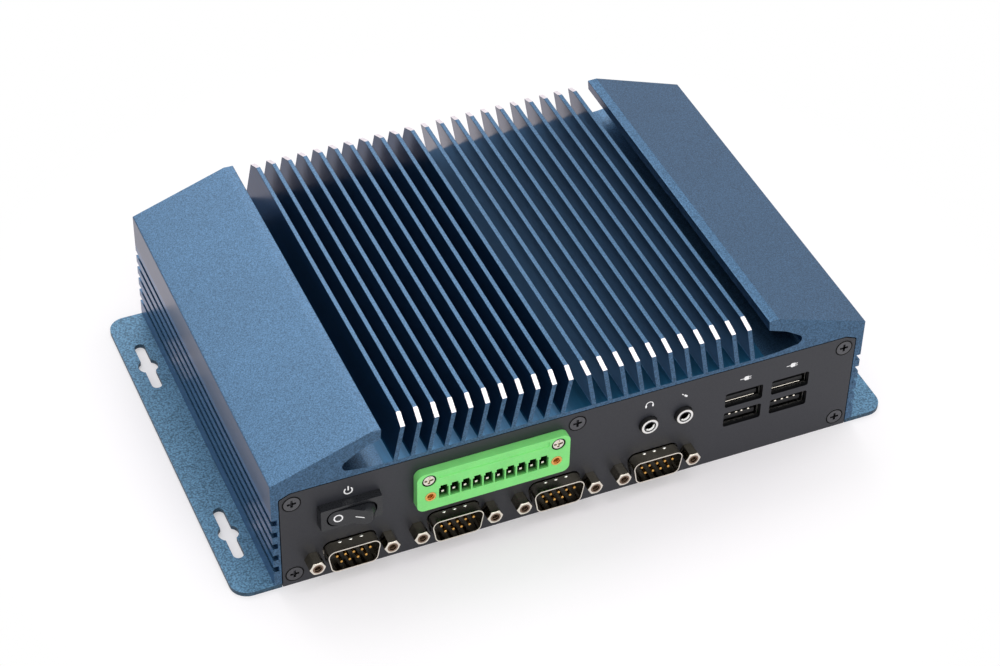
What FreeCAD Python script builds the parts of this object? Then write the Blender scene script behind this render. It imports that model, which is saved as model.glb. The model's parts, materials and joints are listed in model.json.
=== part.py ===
import FreeCAD, Part
import Sketcher
import math
import os

from FreeCAD import Placement, Rotation, Vector

# A fanless industrial computer: one finned aluminium extrusion as housing and heatsink,
# closed by a front panel, a rear panel and a bottom plate with mounting flanges.
# Frame: +X to the right along the front, +Y to the back, +Z up, origin at the centre
# of the underside.  Millimetres.

doc = FreeCAD.newDocument("industrial_computer")
sheet = doc.addObject("Spreadsheet::Sheet", "Dims")

DIMENSIONS = {
    # housing extrusion
    "housing_width": 206.0,
    "housing_length": 140.0,
    "shoulder_height": 45.0,
    "wing_height": 56.5,
    "wing_knee": 69.9,
    "wing_rise": 0.1,
    "lip_reach": 66.5,
    "lip_height": 3.9,
    "lip_slope": 0.4,
    "recess_roof_x": 73.4,
    "recess_roof_z": 50.2,
    "recess_roof_radius": 14.0,
    "recess_tip_x": 82.85,
    "recess_tip_z": 43.9,
    "recess_tip_radius": 2.0,
    "recess_floor_x": 71.0,
    "recess_floor_rise": 0.3,
    "recess_floor_radius": 8.0,
    "trough_edge": 64.5,
    "trough_floor": 41.7,
    "edge_radius": 0.5,
    "ceiling": 37.2,
    "wall": 4.5,
    "channel_width": 5.1,
    "channel_height": 5.6,
    "upper_channel": 31.6,
    "middle_channel": 8.0,
    "middle_rib_length": 9.5,
    # cooling fins
    "fin_count": 11,
    "fin_pitch": 5.65,
    "fin_thickness": 1.5,
    "fin_root": 5.45,
    "fin_top": 57.2,
    "fin_lean": 2.8,
    "fin_burial": 0.5,
    "fin_edge_radius": 0.2,
    "fin_bevel_length": 4.9,
    "fin_bevel_drop": 2.0,
    # side grooves
    "groove_count": 5,
    "groove_pitch": 5.1,
    "groove_first": 8.75,
    "groove_height": 2.2,
    "groove_depth": 1.8,
    # bottom plate
    "plate_width": 232.0,
    "plate_thickness": 1.6,
    "plate_corner": 6.0,
    "slot_offset": 109.1,
    "slot_pitch": 85.5,
    "slot_length": 23.5,
    "slot_width": 3.6,
    "slot_eye": 6.8,
    # panels
    "panel_width": 200.4,
    "panel_height": 39.9,
    "panel_thickness": 1.6,
    "panel_chamfer_x": 3.8,
    "panel_chamfer_z": 1.7,
    "panel_gap": 0.3,
    "panel_side_radius": 0.8,
    "panel_top_radius": 1.5,
    # countersunk screws
    "screw_x": 96.2,
    "screw_low": 4.3,
    "screw_high": 35.3,
    "screw_head": 6.1,
    "screw_head_depth": 1.5,
    "screw_head_play": 0.3,
    "screw_shank": 2.4,
    "screw_play": 0.4,
    "screw_length": 8.0,
    "short_screw_length": 4.5,
    "tapped_hole": 2.6,
    "thread_runout": 0.4,
    "cross_length": 3.0,
    "cross_width": 0.8,
    "cross_depth": 1.1,
    "pan_head": 5.2,
    "pan_head_height": 1.8,
    "pan_screw_length": 5.0,
    "plate_screw_pitch": 52.0,
    # serial ports
    "com_count": 4,
    "com_first": -77.7,
    "com_pitch": 35.2,
    "com_height": 9.3,
    "dsub_width": 18.4,
    "dsub_height": 9.3,
    "dsub_radius": 2.5,
    "dsub_wall": 0.45,
    "dsub_reach": 4.6,
    "dsub_flange_width": 30.8,
    "dsub_flange_height": 12.5,
    "dsub_flange_radius": 1.5,
    "dsub_flange": 0.9,
    "dsub_gap": 0.4,
    "dsub_floor": 0.9,
    "insulator_width": 18.4,
    "insulator_height": 9.2,
    "insulator_radius": 0.8,
    "pin_pitch": 2.77,
    "pin_row": 2.84,
    "pin_diameter": 1.0,
    "pin_reach": 3.9,
    "jackscrew_spacing": 25.0,
    "jackscrew_flats": 4.8,
    "jackscrew_face": 4.5,
    "jackscrew_reach": 5.3,
    "jackscrew_bore": 2.5,
    "jackscrew_bore_depth": 4.2,
    "jackscrew_stud": 2.8,
    "jackscrew_stud_length": 4.0,
    # upright board behind the front panel
    "io_board_front": -58.0,
    "io_board_left": -91.0,
    "io_board_right": 46.0,
    "io_board_bottom": 2.6,
    "io_board_top": 34.5,
    "io_board_step_x": -57.5,
    "io_board_step_z": 17.5,
    "board_thickness": 1.6,
    # rocker switch
    "switch_x": -77.7,
    "switch_z": 27.0,
    "bezel_width": 20.8,
    "bezel_height": 9.0,
    "bezel_reach": 3.0,
    "bezel_radius": 0.6,
    "bezel_taper": 4.0,
    "switch_body_width": 18.8,
    "switch_body_height": 8.0,
    "switch_body_depth": 16.0,
    "switch_body_gap": 0.1,
    "rocker_opening_width": 16.8,
    "rocker_opening_height": 6.6,
    "rocker_radius": 8.0,
    "rocker_height": 6.0,
    "rocker_pivot": 1.2,
    "rocker_angle": 18.5,
    "rocker_dish": 12.0,
    "rocker_tip_angle": 31.0,
    "rocker_rear": 4.0,
    "rocker_gap": 0.6,
    "trunnion": 1.6,
    "trunnion_play": 0.16,
    "trunnion_length": 0.6,
    "trunnion_root": 0.4,
    "trunnion_end_gap": 0.1,
    "tab_width": 4.8,
    "tab_length": 6.3,
    "tab_thickness": 0.8,
    "tab_pitch": 6.5,
    # terminal header
    "header_x": -29.9,
    "header_width": 52.4,
    "header_bottom": 19.0,
    "header_height": 15.9,
    "header_reach": 3.2,
    "header_radius": 2.6,
    "header_body_width": 48.0,
    "header_body_bottom": 20.9,
    "header_body_height": 9.4,
    "header_gap": 0.2,
    "cell_count": 10,
    "cell_pitch": 3.81,
    "cell_width": 3.2,
    "cell_bottom": 22.9,
    "cell_height": 4.4,
    "cell_key_width": 2.2,
    "cell_key_height": 1.0,
    "cell_depth": 8.0,
    "header_pin": 1.0,
    "header_pin_reach": 2.2,
    "insert_spacing": 43.2,
    "insert_z": 24.7,
    "insert_diameter": 3.7,
    "insert_bore": 2.4,
    "insert_length": 7.2,
    "insert_bore_depth": 6.0,
    "header_screw_spacing": 44.2,
    "header_screw_z": 31.7,
    "header_screw_head": 4.4,
    "header_screw_head_height": 1.2,
    "header_screw_length": 8.0,
    "header_screw_play": 0.2,
    "header_cross_depth": 0.7,
    "header_counterbore": 4.8,
    "header_counterbore_depth": 1.5,
    "band_width": 37.7,
    "band_bottom": 31.8,
    "band_height": 2.1,
    "band_depth": 0.4,
    # audio jacks
    "jack_first": 25.4,
    "jack_pitch": 12.6,
    "jack_z": 26.1,
    "jack_barrel": 6.3,
    "jack_reach": 1.5,
    "jack_bore": 3.6,
    "jack_bore_depth": 9.0,
    "jack_body": 9.0,
    "jack_rim": 5.8,
    "jack_rim_depth": 0.4,
    "jack_play": 0.4,
    "sleeve_diameter": 4.2,
    # USB stacks
    "usb_first": 60.1,
    "usb_pitch": 17.0,
    "usb_upper": 26.2,
    "usb_tier": 8.5,
    "usb_cutout_width": 13.7,
    "usb_cutout_height": 6.1,
    "usb_cutout_radius": 0.8,
    "usb_shell_width": 13.2,
    "usb_shell_height": 5.7,
    "usb_bay_radius": 0.3,
    "usb_wall": 0.35,
    "usb_depth": 17.0,
    "usb_bay": 12.0,
    "usb_setback": 1.7,
    "tongue_width": 11.2,
    "tongue_thickness": 1.7,
    "tongue_drop": 1.0,
    "tongue_setback": 0.4,
    # main board and what it carries
    "board_top": 12.5,
    "board_width": 172.0,
    "board_back": 66.0,
    "board_front": -54.0,
    "board_step_x": 48.0,
    "board_step_front": -66.0,
    "standoff_x": 79.0,
    "standoff_front": -46.0,
    "standoff_back": 44.0,
    "standoff_flats": 5.0,
    "cpu_size": 26.0,
    "cpu_thickness": 1.8,
    "spreader_foot_size": 30.0,
    "spreader_foot_height": 6.0,
    "spreader_size": 46.0,
    "pad_thickness": 0.5,
    "memory_x": -52.0,
    "memory_y": 6.0,
    "memory_width": 67.6,
    "memory_length": 30.0,
    "memory_thickness": 1.2,
    "memory_lift": 2.5,
    "memory_engagement": 1.5,
    "memory_socket_depth": 5.0,
    "memory_socket_height": 5.2,
    "memory_socket_end": 1.0,
    "memory_slit": 2.0,
    "memory_chip_count": 4,
    "memory_chip_first": 5.0,
    "memory_chip_pitch": 15.0,
    "memory_chip_setback": 8.0,
    "memory_chip_width": 11.0,
    "memory_chip_length": 12.0,
    "memory_chip_height": 1.0,
    "coin_x": 56.0,
    "coin_y": -28.0,
    "coin_diameter": 20.0,
    "coin_thickness": 3.2,
    "coin_holder_diameter": 23.0,
    "coin_holder_height": 4.0,
    "coin_holder_floor": 1.0,
    "coin_holder_play": 0.4,
    "drive_length": 100.0,
    "drive_width": 69.85,
    "drive_thickness": 7.0,
    "drive_screw_x": 76.6,
    "drive_screw_y": 61.72,
    "drive_hole_depth": 4.0,
    "choke_size": 7.0,
    "choke_height": 4.0,
    "choke_count": 4,
    "choke_first": 30.0,
    "choke_pitch": 9.0,
    "choke_y": 12.0,
    # rear ports
    "socket_setback": 0.3,
    "dc_x": -78.0,
    "dc_z": 19.5,
    "dc_barrel": 11.0,
    "dc_barrel_play": 0.4,
    "dc_block_width": 13.0,
    "dc_block_depth": 12.0,
    "dc_block_height": 14.0,
    "dc_bore": 6.4,
    "dc_bore_depth": 8.0,
    "dc_pin": 2.0,
    "dc_pin_setback": 1.0,
    "dc_reach": 3.0,
    "dc_nut_flats": 14.0,
    "dc_nut_thickness": 2.0,
    "dc_nut_play": 0.1,
    "hdmi_x": -54.0,
    "hdmi_width": 15.0,
    "hdmi_height": 5.6,
    "hdmi_gap": 0.4,
    "hdmi_foot": 1.0,
    "hdmi_foot_width": 9.0,
    "hdmi_foot_length": 8.0,
    "hdmi_foot_setback": 2.0,
    "hdmi_length": 11.0,
    "hdmi_wall": 0.35,
    "hdmi_bay": 8.0,
    "hdmi_shoulder_x": 2.0,
    "hdmi_shoulder_z": 1.8,
    "hdmi_tongue_width": 11.0,
    "hdmi_tongue_length": 7.0,
    "hdmi_tongue_thickness": 1.2,
    "hdmi_tongue_drop": 0.1,
    "vga_x": -24.0,
    "vga_z": 19.2,
    "vga_reach": 4.0,
    "vga_inset": 0.9,
    "vga_gap": 0.7,
    "vga_core_reach": 3.8,
    "vga_base_height": 11.0,
    "vga_base_depth": 9.0,
    "vga_columns": 5,
    "vga_column_pitch": 2.29,
    "vga_row_pitch": 1.98,
    "vga_contact": 1.0,
    "vga_contact_depth": 3.0,
    "lan_first": 9.0,
    "lan_pitch": 19.0,
    "lan_width": 16.0,
    "lan_height": 13.6,
    "lan_depth": 21.0,
    "lan_mouth_width": 11.9,
    "lan_mouth_height": 8.4,
    "lan_mouth_depth": 14.0,
    "lan_mouth_rise": 2.0,
    "lan_key_width": 6.2,
    "lan_key_height": 1.6,
    "lan_collar_inset": 0.8,
    "lan_collar_rise": 0.9,
    "lan_hole_gap": 0.3,
    "lan_hole_radius": 0.5,
    "rear_usb_x": 52.0,
}


class Size:
    """A number together with the sheet formula that it comes from."""

    def __init__(self, value, formula):
        self.value = float(value)
        self.formula = formula

    @staticmethod
    def of(other):
        if isinstance(other, Size):
            return other
        return Size(other, repr(float(other)))

    def __add__(self, other):
        other = Size.of(other)
        return Size(self.value + other.value, f"({self.formula} + {other.formula})")

    def __sub__(self, other):
        other = Size.of(other)
        return Size(self.value - other.value, f"({self.formula} - {other.formula})")

    def __mul__(self, other):
        other = Size.of(other)
        return Size(self.value * other.value, f"({self.formula} * {other.formula})")

    def __truediv__(self, other):
        other = Size.of(other)
        return Size(self.value / other.value, f"({self.formula} / {other.formula})")

    def __neg__(self):
        return Size(-self.value, f"(-1 * {self.formula})")

    def __radd__(self, other):
        return Size.of(other) + self

    def __rsub__(self, other):
        return Size.of(other) - self

    def __rmul__(self, other):
        return Size.of(other) * self

    def __float__(self):
        return self.value


class Dims:
    """The sheet's cells, read by alias."""

    def __getattr__(self, name):
        return Size(DIMENSIONS[name], f"Dims.{name}")


for row, (alias, number) in enumerate(DIMENSIONS.items(), start=1):
    sheet.set(f"A{row}", alias)
    sheet.set(f"B{row}", str(number))
    sheet.setAlias(f"B{row}", alias)
doc.recompute()
d = Dims()
exported = []


# ---------------------------------------------------------------- helpers


def keep(item, label):
    """Name a sub-part and put it on the list of files."""
    item.Label = label
    exported.append(item)
    return item


def bind(item, path, size):
    item.setExpression(path, Size.of(size).formula)


def new_body(label):
    return keep(doc.addObject("PartDesign::Body", label), label)


def new_sketch(body, name, role, offset):
    """A sketch on one of the body's origin planes, moved along the plane's normal."""
    sketch = body.newObject("Sketcher::SketchObject", name)
    plane = [item for item in body.Origin.OriginFeatures if item.Role == role][0]
    sketch.AttachmentSupport = [(plane, "")]
    sketch.MapMode = "FlatFace"
    bind(sketch, "AttachmentOffset.Base.z", offset)
    return sketch


def draw_rectangle(sketch, left, right, bottom, top):
    """A rectangle whose four sides are held at sizes from the sheet."""
    corners = [(left, bottom), (right, bottom), (right, top), (left, top)]
    points = [Vector(float(x), float(y), 0) for x, y in corners]
    first = sketch.GeometryCount
    for index in range(4):
        sketch.addGeometry(Part.LineSegment(points[index], points[(index + 1) % 4]), False)
    for index in range(4):
        sketch.addConstraint(Sketcher.Constraint(
            "Coincident", first + index, 2, first + (index + 1) % 4, 1))
    sketch.addConstraint(Sketcher.Constraint("Horizontal", first))
    sketch.addConstraint(Sketcher.Constraint("Vertical", first + 1))
    sketch.addConstraint(Sketcher.Constraint("Horizontal", first + 2))
    sketch.addConstraint(Sketcher.Constraint("Vertical", first + 3))
    for kind, point, size in (("DistanceX", 1, left), ("DistanceY", 1, bottom)):
        hold(sketch, kind, first, point, size)
    for kind, point, size in (("DistanceX", 1, right), ("DistanceY", 1, top)):
        hold(sketch, kind, first + 2, point, size)


def hold(sketch, kind, geometry, point, size):
    """Hold one coordinate of a point, measured from the sketch's origin."""
    size = Size.of(size)
    index = sketch.addConstraint(Sketcher.Constraint(
        kind, -1, 1, geometry, point, size.value))
    sketch.setExpression(f"Constraints[{index}]", size.formula)


def draw_circle(sketch, x, y, diameter):
    circle = Part.Circle(Vector(float(x), float(y), 0), Vector(0, 0, 1), float(diameter) / 2)
    index = sketch.addGeometry(circle, False)
    constraint = sketch.addConstraint(Sketcher.Constraint("Diameter", index, float(diameter)))
    sketch.setExpression(f"Constraints[{constraint}]", Size.of(diameter).formula)
    hold(sketch, "DistanceX", index, 3, x)
    hold(sketch, "DistanceY", index, 3, y)


def rounded_edges(points):
    """Lines and arcs through (x, y) or (x, y, corner radius) points, closed."""
    corners = []
    for index, point in enumerate(points):
        here = Vector(float(point[0]), float(point[1]), 0)
        radius = float(point[2]) if len(point) > 2 else 0.0
        if radius == 0.0:
            corners.append((here, here, here))
            continue
        before = points[index - 1]
        after = points[(index + 1) % len(points)]
        back = (Vector(float(before[0]), float(before[1]), 0) - here).normalize()
        ahead = (Vector(float(after[0]), float(after[1]), 0) - here).normalize()
        half = back.getAngle(ahead) / 2
        reach = radius / math.tan(half)
        bisector = (back + ahead).normalize()
        middle = here + bisector * (radius / math.sin(half) - radius)
        corners.append((here + back * reach, middle, here + ahead * reach))
    edges = []
    for index, (start, middle, end) in enumerate(corners):
        if start.distanceToPoint(end) > 1e-6:
            edges.append(Part.Arc(start, middle, end))
        following = corners[(index + 1) % len(corners)][0]
        if end.distanceToPoint(following) > 1e-6:
            edges.append(Part.LineSegment(end, following))
    return edges


def draw_outline(sketch, points):
    sketch.addGeometry(rounded_edges(points), False)


def shape_volume(body):
    doc.recompute()
    return body.Shape.Volume if not body.Shape.isNull() else 0.0


def pad(body, sketch, length):
    """Add material along the sketch's normal, and make sure that some was added."""
    before = shape_volume(body)
    feature = body.newObject("PartDesign::Pad", sketch.Name + "_pad")
    feature.Profile = sketch
    bind(feature, "Length", length)
    if not shape_volume(body) > before:
        raise RuntimeError(f"{feature.Name} added nothing")
    return feature


def pocket(body, sketch, length, through=False):
    """Cut against the sketch's normal, and make sure that something was cut."""
    before = shape_volume(body)
    feature = body.newObject("PartDesign::Pocket", sketch.Name + "_cut")
    feature.Profile = sketch
    feature.Type = "ThroughAll" if through else "Length"
    bind(feature, "Length", length)
    if not shape_volume(body) < before:
        raise RuntimeError(f"{feature.Name} cut nothing")
    return feature


def pattern(body, feature, role, step, count):
    """Repeat a feature along one of the body's axes."""
    before = body.Shape.Volume
    array = body.newObject("PartDesign::LinearPattern", feature.Name + "_row")
    axis = [item for item in body.Origin.OriginFeatures if item.Role == role][0]
    array.Originals = [feature]
    array.Direction = (axis, [""])
    array.Occurrences = int(float(count))
    length = step * (float(count) - 1)
    if float(length) < 0:
        array.Reversed = True
        length = -length
    bind(array, "Length", length)
    body.Tip = array
    doc.recompute()
    if abs(body.Shape.Volume - before) < 1e-6:
        raise RuntimeError(f"{array.Name} changed nothing")
    return array


def xz_sketch(body, name, y):
    """A sketch in an upright plane at the given y; its normal points to -Y."""
    return new_sketch(body, name, "XZ_Plane", -Size.of(y))


def bar_along_y(body, name, points, front, back):
    """A prism with an upright outline, from y = front to y = back."""
    sketch = xz_sketch(body, name, back)
    draw_outline(sketch, points)
    return pad(body, sketch, Size.of(back) - front)


def slot_along_y(body, name, points, front, back):
    """A cut with an upright outline, from y = front to y = back."""
    sketch = xz_sketch(body, name, front)
    draw_outline(sketch, points)
    return pocket(body, sketch, Size.of(back) - front)


def rectangle(x, width, bottom, height, radius=0.0):
    """Corner points of an upright rectangle centred on x."""
    left = float(x) - float(width) / 2
    right = float(x) + float(width) / 2
    top = float(bottom) + float(height)
    corners = ((left, bottom), (right, bottom), (right, top), (left, top))
    return [(px, float(pz), radius) for px, pz in corners]


def dsub_outline(x, z, grow=0.0):
    """The D of a nine-way connector, wide side up, grown by the given margin."""
    slope = math.tan(math.radians(10))
    half = float(d.dsub_width) / 2 + grow
    rise = float(d.dsub_height) / 2 + grow
    foot = half - 2 * rise * slope
    radius = float(d.dsub_radius) + grow
    x = float(x)
    z = float(z)
    return [(x - foot, z - rise, radius), (x + foot, z - rise, radius),
            (x + half, z + rise, radius), (x - half, z + rise, radius)]


def box(name, left, front, bottom, width, depth, height):
    item = doc.addObject("Part::Box", name)
    for path, size in (("Length", width), ("Width", depth), ("Height", height),
                       ("Placement.Base.x", left), ("Placement.Base.y", front),
                       ("Placement.Base.z", bottom)):
        bind(item, path, size)
    return item


def cylinder(name, x, y, z, diameter, height, axis="z"):
    """A cylinder that starts at the given point and runs up, or back along +Y."""
    item = doc.addObject("Part::Cylinder", name)
    bind(item, "Radius", Size.of(diameter) / 2)
    bind(item, "Height", height)
    if axis == "y":
        item.Placement = Placement(Vector(0, 0, 0), Rotation(Vector(1, 0, 0), -90))
    for path, size in (("Placement.Base.x", x), ("Placement.Base.y", y),
                       ("Placement.Base.z", z)):
        bind(item, path, size)
    return item


def hexagon(name, x, y, z, flats, height, axis="z"):
    """A hexagonal prism given by its width across flats."""
    item = doc.addObject("Part::Prism", name)
    item.Polygon = 6
    bind(item, "Circumradius", Size.of(flats) / math.sqrt(3))
    bind(item, "Height", height)
    if axis == "y":
        item.Placement = Placement(Vector(0, 0, 0), Rotation(Vector(1, 0, 0), -90))
    for path, size in (("Placement.Base.x", x), ("Placement.Base.y", y),
                       ("Placement.Base.z", z)):
        bind(item, path, size)
    return item


def cone(name, x, y, z, start, end, height, axis="z"):
    """A cone given by its diameters at the start and at the end of its height."""
    item = doc.addObject("Part::Cone", name)
    bind(item, "Radius1", Size.of(start) / 2)
    bind(item, "Radius2", Size.of(end) / 2)
    bind(item, "Height", height)
    if axis == "y":
        item.Placement = Placement(Vector(0, 0, 0), Rotation(Vector(1, 0, 0), -90))
    for path, size in (("Placement.Base.x", x), ("Placement.Base.y", y),
                       ("Placement.Base.z", z)):
        bind(item, path, size)
    return item


def fuse(name, items):
    item = doc.addObject("Part::MultiFuse", name)
    item.Shapes = items
    return item


def cut(name, base, tools):
    item = doc.addObject("Part::Cut", name)
    item.Base = base
    item.Tool = tools[0] if len(tools) == 1 else fuse(name + "_tools", tools)
    return item


def group(label, master, placements):
    """Identical pieces as separate solids of one sub-part."""
    doc.recompute()
    copies = []
    for placement in placements:
        copy = master.Shape.copy()
        copy.Placement = placement.multiply(copy.Placement)
        copies.append(copy)
    item = doc.addObject("Part::Feature", label)
    item.Shape = Part.makeCompound(copies)
    return keep(item, label)


FRONT = -d.housing_length / 2
BACK = d.housing_length / 2
PANEL_INSIDE = FRONT + d.panel_thickness
REAR_PANEL_INSIDE = BACK - d.panel_thickness
HALF_WIDTH = d.housing_width / 2


# ---------------------------------------------------------------- housing


def housing_outline():
    """The extrusion's section: a Pi with sloping wings, a trough and screw channels."""
    outer = float(HALF_WIDTH)
    inner = outer - float(d.wall)
    channel = inner - float(d.channel_width)
    base = float(d.plate_thickness)
    floor = float(d.trough_floor)
    wing = float(d.wing_height)
    ceiling = float(d.ceiling)
    rib = float(d.middle_channel) / 2
    upper = float(d.upper_channel)
    lower = base + float(d.channel_height)
    lip = float(d.lip_reach)
    edge = float(d.edge_radius)
    walls = [
        (rib, ceiling, edge), (channel, ceiling, edge), (channel, upper, edge),
        (inner, upper, edge), (inner, lower, edge), (channel, lower, edge),
        (channel, base), (outer, base), (outer, float(d.shoulder_height), edge),
    ]
    wing_top = [
        (float(d.wing_knee), wing + float(d.wing_rise), edge), (lip, wing, 0.6 * edge),
        (lip + float(d.lip_slope), wing - float(d.lip_height), 0.6 * edge),
    ]
    recess = [
        (float(d.recess_roof_x), float(d.recess_roof_z), d.recess_roof_radius),
        (float(d.recess_tip_x), float(d.recess_tip_z), d.recess_tip_radius),
        (float(d.recess_floor_x), floor + float(d.recess_floor_rise), d.recess_floor_radius),
        (float(d.trough_edge), floor),
    ]
    right = walls + wing_top + recess
    left = [(-point[0],) + tuple(point[1:]) for point in reversed(right)]
    return [(-rib, upper, edge), (rib, upper, edge)] + right + left


def fin_outline(side, root):
    """One fin: it leans towards the middle of the housing as it rises."""
    half = float(d.fin_thickness) / 2
    lean = float(d.fin_lean)
    burial = float(d.fin_burial)
    bottom = float(d.trough_floor) - burial
    top = float(d.fin_top)
    edge = float(d.fin_edge_radius)
    foot = root + burial * lean / (top - float(d.trough_floor))
    tip = root - lean
    corners = [(foot - half, bottom), (foot + half, bottom),
               (tip + half, top, edge), (tip - half, top, edge)]
    return [(side * corner[0],) + tuple(corner[1:]) for corner in corners]


def make_housing():
    """The whole extrusion with its fins, grooves, panel seats and tapped holes."""
    body = new_body("heatsink_housing")
    bar_along_y(body, "housing_section", housing_outline(), FRONT, BACK)
    for side, name in ((1, "right"), (-1, "left")):
        fin = bar_along_y(body, f"fin_{name}", fin_outline(side, float(d.fin_root)),
                          FRONT, BACK)
        pattern(body, fin, "X_Axis", side * d.fin_pitch, d.fin_count)

    # both ends of every fin are milled down to a sloping face
    reach = float(d.fin_root + d.fin_pitch * (d.fin_count - 1)) + 2
    bevel = new_sketch(body, "fin_bevels", "YZ_Plane", -reach)
    for end in (-1, 1):
        tip = end * float(BACK)
        start = tip - end * float(d.fin_bevel_length)
        top = float(d.fin_top)
        draw_outline(bevel, [(start, top), (start, top + 1), (tip + end, top + 1),
                             (tip + end, top - float(d.fin_bevel_drop)),
                             (tip, top - float(d.fin_bevel_drop))])
    bevel_cut = body.newObject("PartDesign::Pocket", "fin_bevels_cut")
    bevel_cut.Profile = bevel
    bevel_cut.Reversed = True
    bind(bevel_cut, "Length", 2 * reach)
    doc.recompute()

    # the middle rib is left only where it takes the panels' middle screws
    slot_along_y(body, "middle_rib_relief",
                 rectangle(0, d.middle_channel + 3 * d.edge_radius, d.upper_channel - 1,
                           d.ceiling - d.upper_channel + 1),
                 PANEL_INSIDE + d.middle_rib_length,
                 REAR_PANEL_INSIDE - d.middle_rib_length)

    # longitudinal grooves in both side walls
    for side, name in ((1, "right"), (-1, "left")):
        deep = side * (HALF_WIDTH - d.groove_depth)
        past = side * (HALF_WIDTH + 1)
        sketch = xz_sketch(body, f"groove_{name}", FRONT)
        left, right = (deep, past) if side > 0 else (past, deep)
        draw_rectangle(sketch, left, right, d.groove_first - d.groove_height / 2,
                       d.groove_first + d.groove_height / 2)
        groove = pocket(body, sketch, d.housing_length)
        pattern(body, groove, "Z_Axis", d.groove_pitch, d.groove_count)

    # seats that let the panels lie flush in both ends
    seat_width = float(d.panel_width) + 2 * float(d.panel_gap)
    seat_top = float(d.panel_height) + float(d.panel_gap)
    seat = panel_outline(seat_width, seat_top, bottom=0)
    slot_along_y(body, "front_seat", seat, FRONT, PANEL_INSIDE)
    slot_along_y(body, "rear_seat", seat, REAR_PANEL_INSIDE, BACK)

    # tapped holes for the panel screws and the plate screws
    for name, front in (("front", PANEL_INSIDE), ("rear", BACK - d.screw_length - 1)):
        sketch = xz_sketch(body, f"{name}_threads", front)
        for x, z in panel_screw_places():
            draw_circle(sketch, x, z, d.tapped_hole)
        pocket(body, sketch, d.screw_length + 1 - d.panel_thickness)
    depth = d.channel_height + d.thread_runout
    sketch = new_sketch(body, "plate_threads", "XY_Plane", d.plate_thickness + depth)
    for x, y in plate_screw_places():
        draw_circle(sketch, x, y, d.tapped_hole)
    pocket(body, sketch, depth)
    return body


def panel_screw_places():
    return [(-d.screw_x, d.screw_high), (d.screw_x, d.screw_high),
            (-d.screw_x, d.screw_low), (d.screw_x, d.screw_low),
            (Size.of(0), d.screw_high)]


def plate_screw_places():
    places = []
    for x in (-d.screw_x, d.screw_x):
        for step in (-1, 0, 1):
            places.append((x, step * d.plate_screw_pitch))
    return places


# ---------------------------------------------------------------- panels and plate


def panel_outline(width, top, bottom):
    """A panel's edge: square at the foot, with shallow chamfers at the upper corners."""
    half = width / 2
    cut_x = float(d.panel_chamfer_x)
    cut_z = float(d.panel_chamfer_z)
    side = float(d.panel_side_radius)
    upper = float(d.panel_top_radius)
    return [(-half, bottom), (half, bottom), (half, top - cut_z, side),
            (half - cut_x, top, upper), (cut_x - half, top, upper),
            (-half, top - cut_z, side)]


def make_panel(label, front, back, rear):
    """A coated sheet with countersunk holes for its five screws."""
    body = new_body(label)
    outline = panel_outline(float(d.panel_width), float(d.panel_height), bottom=0)
    bar_along_y(body, label + "_sheet", outline, front, back)
    sketch = xz_sketch(body, label + "_screw_holes", back if rear else front)
    for x, z in panel_screw_places():
        draw_circle(sketch, x, z, d.screw_shank + d.screw_play)
    countersunk_holes(body, label + "_screw_seats", sketch, outward=rear)
    return body


def cut_hole(body, name, points, front):
    """An opening of any outline through a panel."""
    return slot_along_y(body, name, points, front, front + d.panel_thickness)


def cut_round_holes(body, name, centres, diameter, front):
    sketch = xz_sketch(body, name, front)
    for x, z in centres:
        draw_circle(sketch, x, z, diameter)
    return pocket(body, sketch, d.panel_thickness)


def com_centres():
    return [d.com_first + index * d.com_pitch for index in range(int(d.com_count.value))]


def make_front_panel():
    """The panel with the switch, the header, the jacks and the front sockets."""
    body = make_panel("front_panel", FRONT, PANEL_INSIDE, rear=False)
    hole = cut_hole(body, "com_hole",
                    dsub_outline(d.com_first, d.com_height, float(d.dsub_gap)), FRONT)
    pattern(body, hole, "X_Axis", d.com_pitch, d.com_count)
    screws = cut_round_holes(
        body, "com_screw_holes",
        [(d.com_first + side * d.jackscrew_spacing / 2, d.com_height) for side in (-1, 1)],
        d.jackscrew_stud + d.screw_play, FRONT)
    pattern(body, screws, "X_Axis", d.com_pitch, d.com_count)
    cut_hole(body, "switch_hole",
             rectangle(d.switch_x, d.switch_body_width + 2 * d.switch_body_gap,
                       d.switch_z - d.switch_body_height / 2 - d.switch_body_gap,
                       d.switch_body_height + 2 * d.switch_body_gap), FRONT)
    cut_hole(body, "header_hole",
             rectangle(d.header_x, d.header_body_width + 2 * d.header_gap,
                       d.header_body_bottom - d.header_gap,
                       d.header_body_height + 2 * d.header_gap), FRONT)
    cut_round_holes(
        body, "header_screw_holes",
        [(d.header_x + side * d.header_screw_spacing / 2, d.header_screw_z)
         for side in (-1, 1)], d.screw_shank + d.header_screw_play, FRONT)
    cut_round_holes(body, "jack_holes",
                    [(d.jack_first + index * d.jack_pitch, d.jack_z) for index in (0, 1)],
                    d.jack_barrel + d.jack_play, FRONT)
    for column in (0, 1):
        for tier in (0, 1):
            cut_hole(body, f"usb_hole_{column}{tier}",
                     usb_cutout(d.usb_first + column * d.usb_pitch, tier), FRONT)
    return body


def usb_cutout(x, tier):
    """The panel opening round one socket of a stack, counted from the top."""
    z = d.usb_upper - tier * d.usb_tier
    return rectangle(x, d.usb_cutout_width, z - d.usb_cutout_height / 2,
                     d.usb_cutout_height, float(d.usb_cutout_radius))


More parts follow.
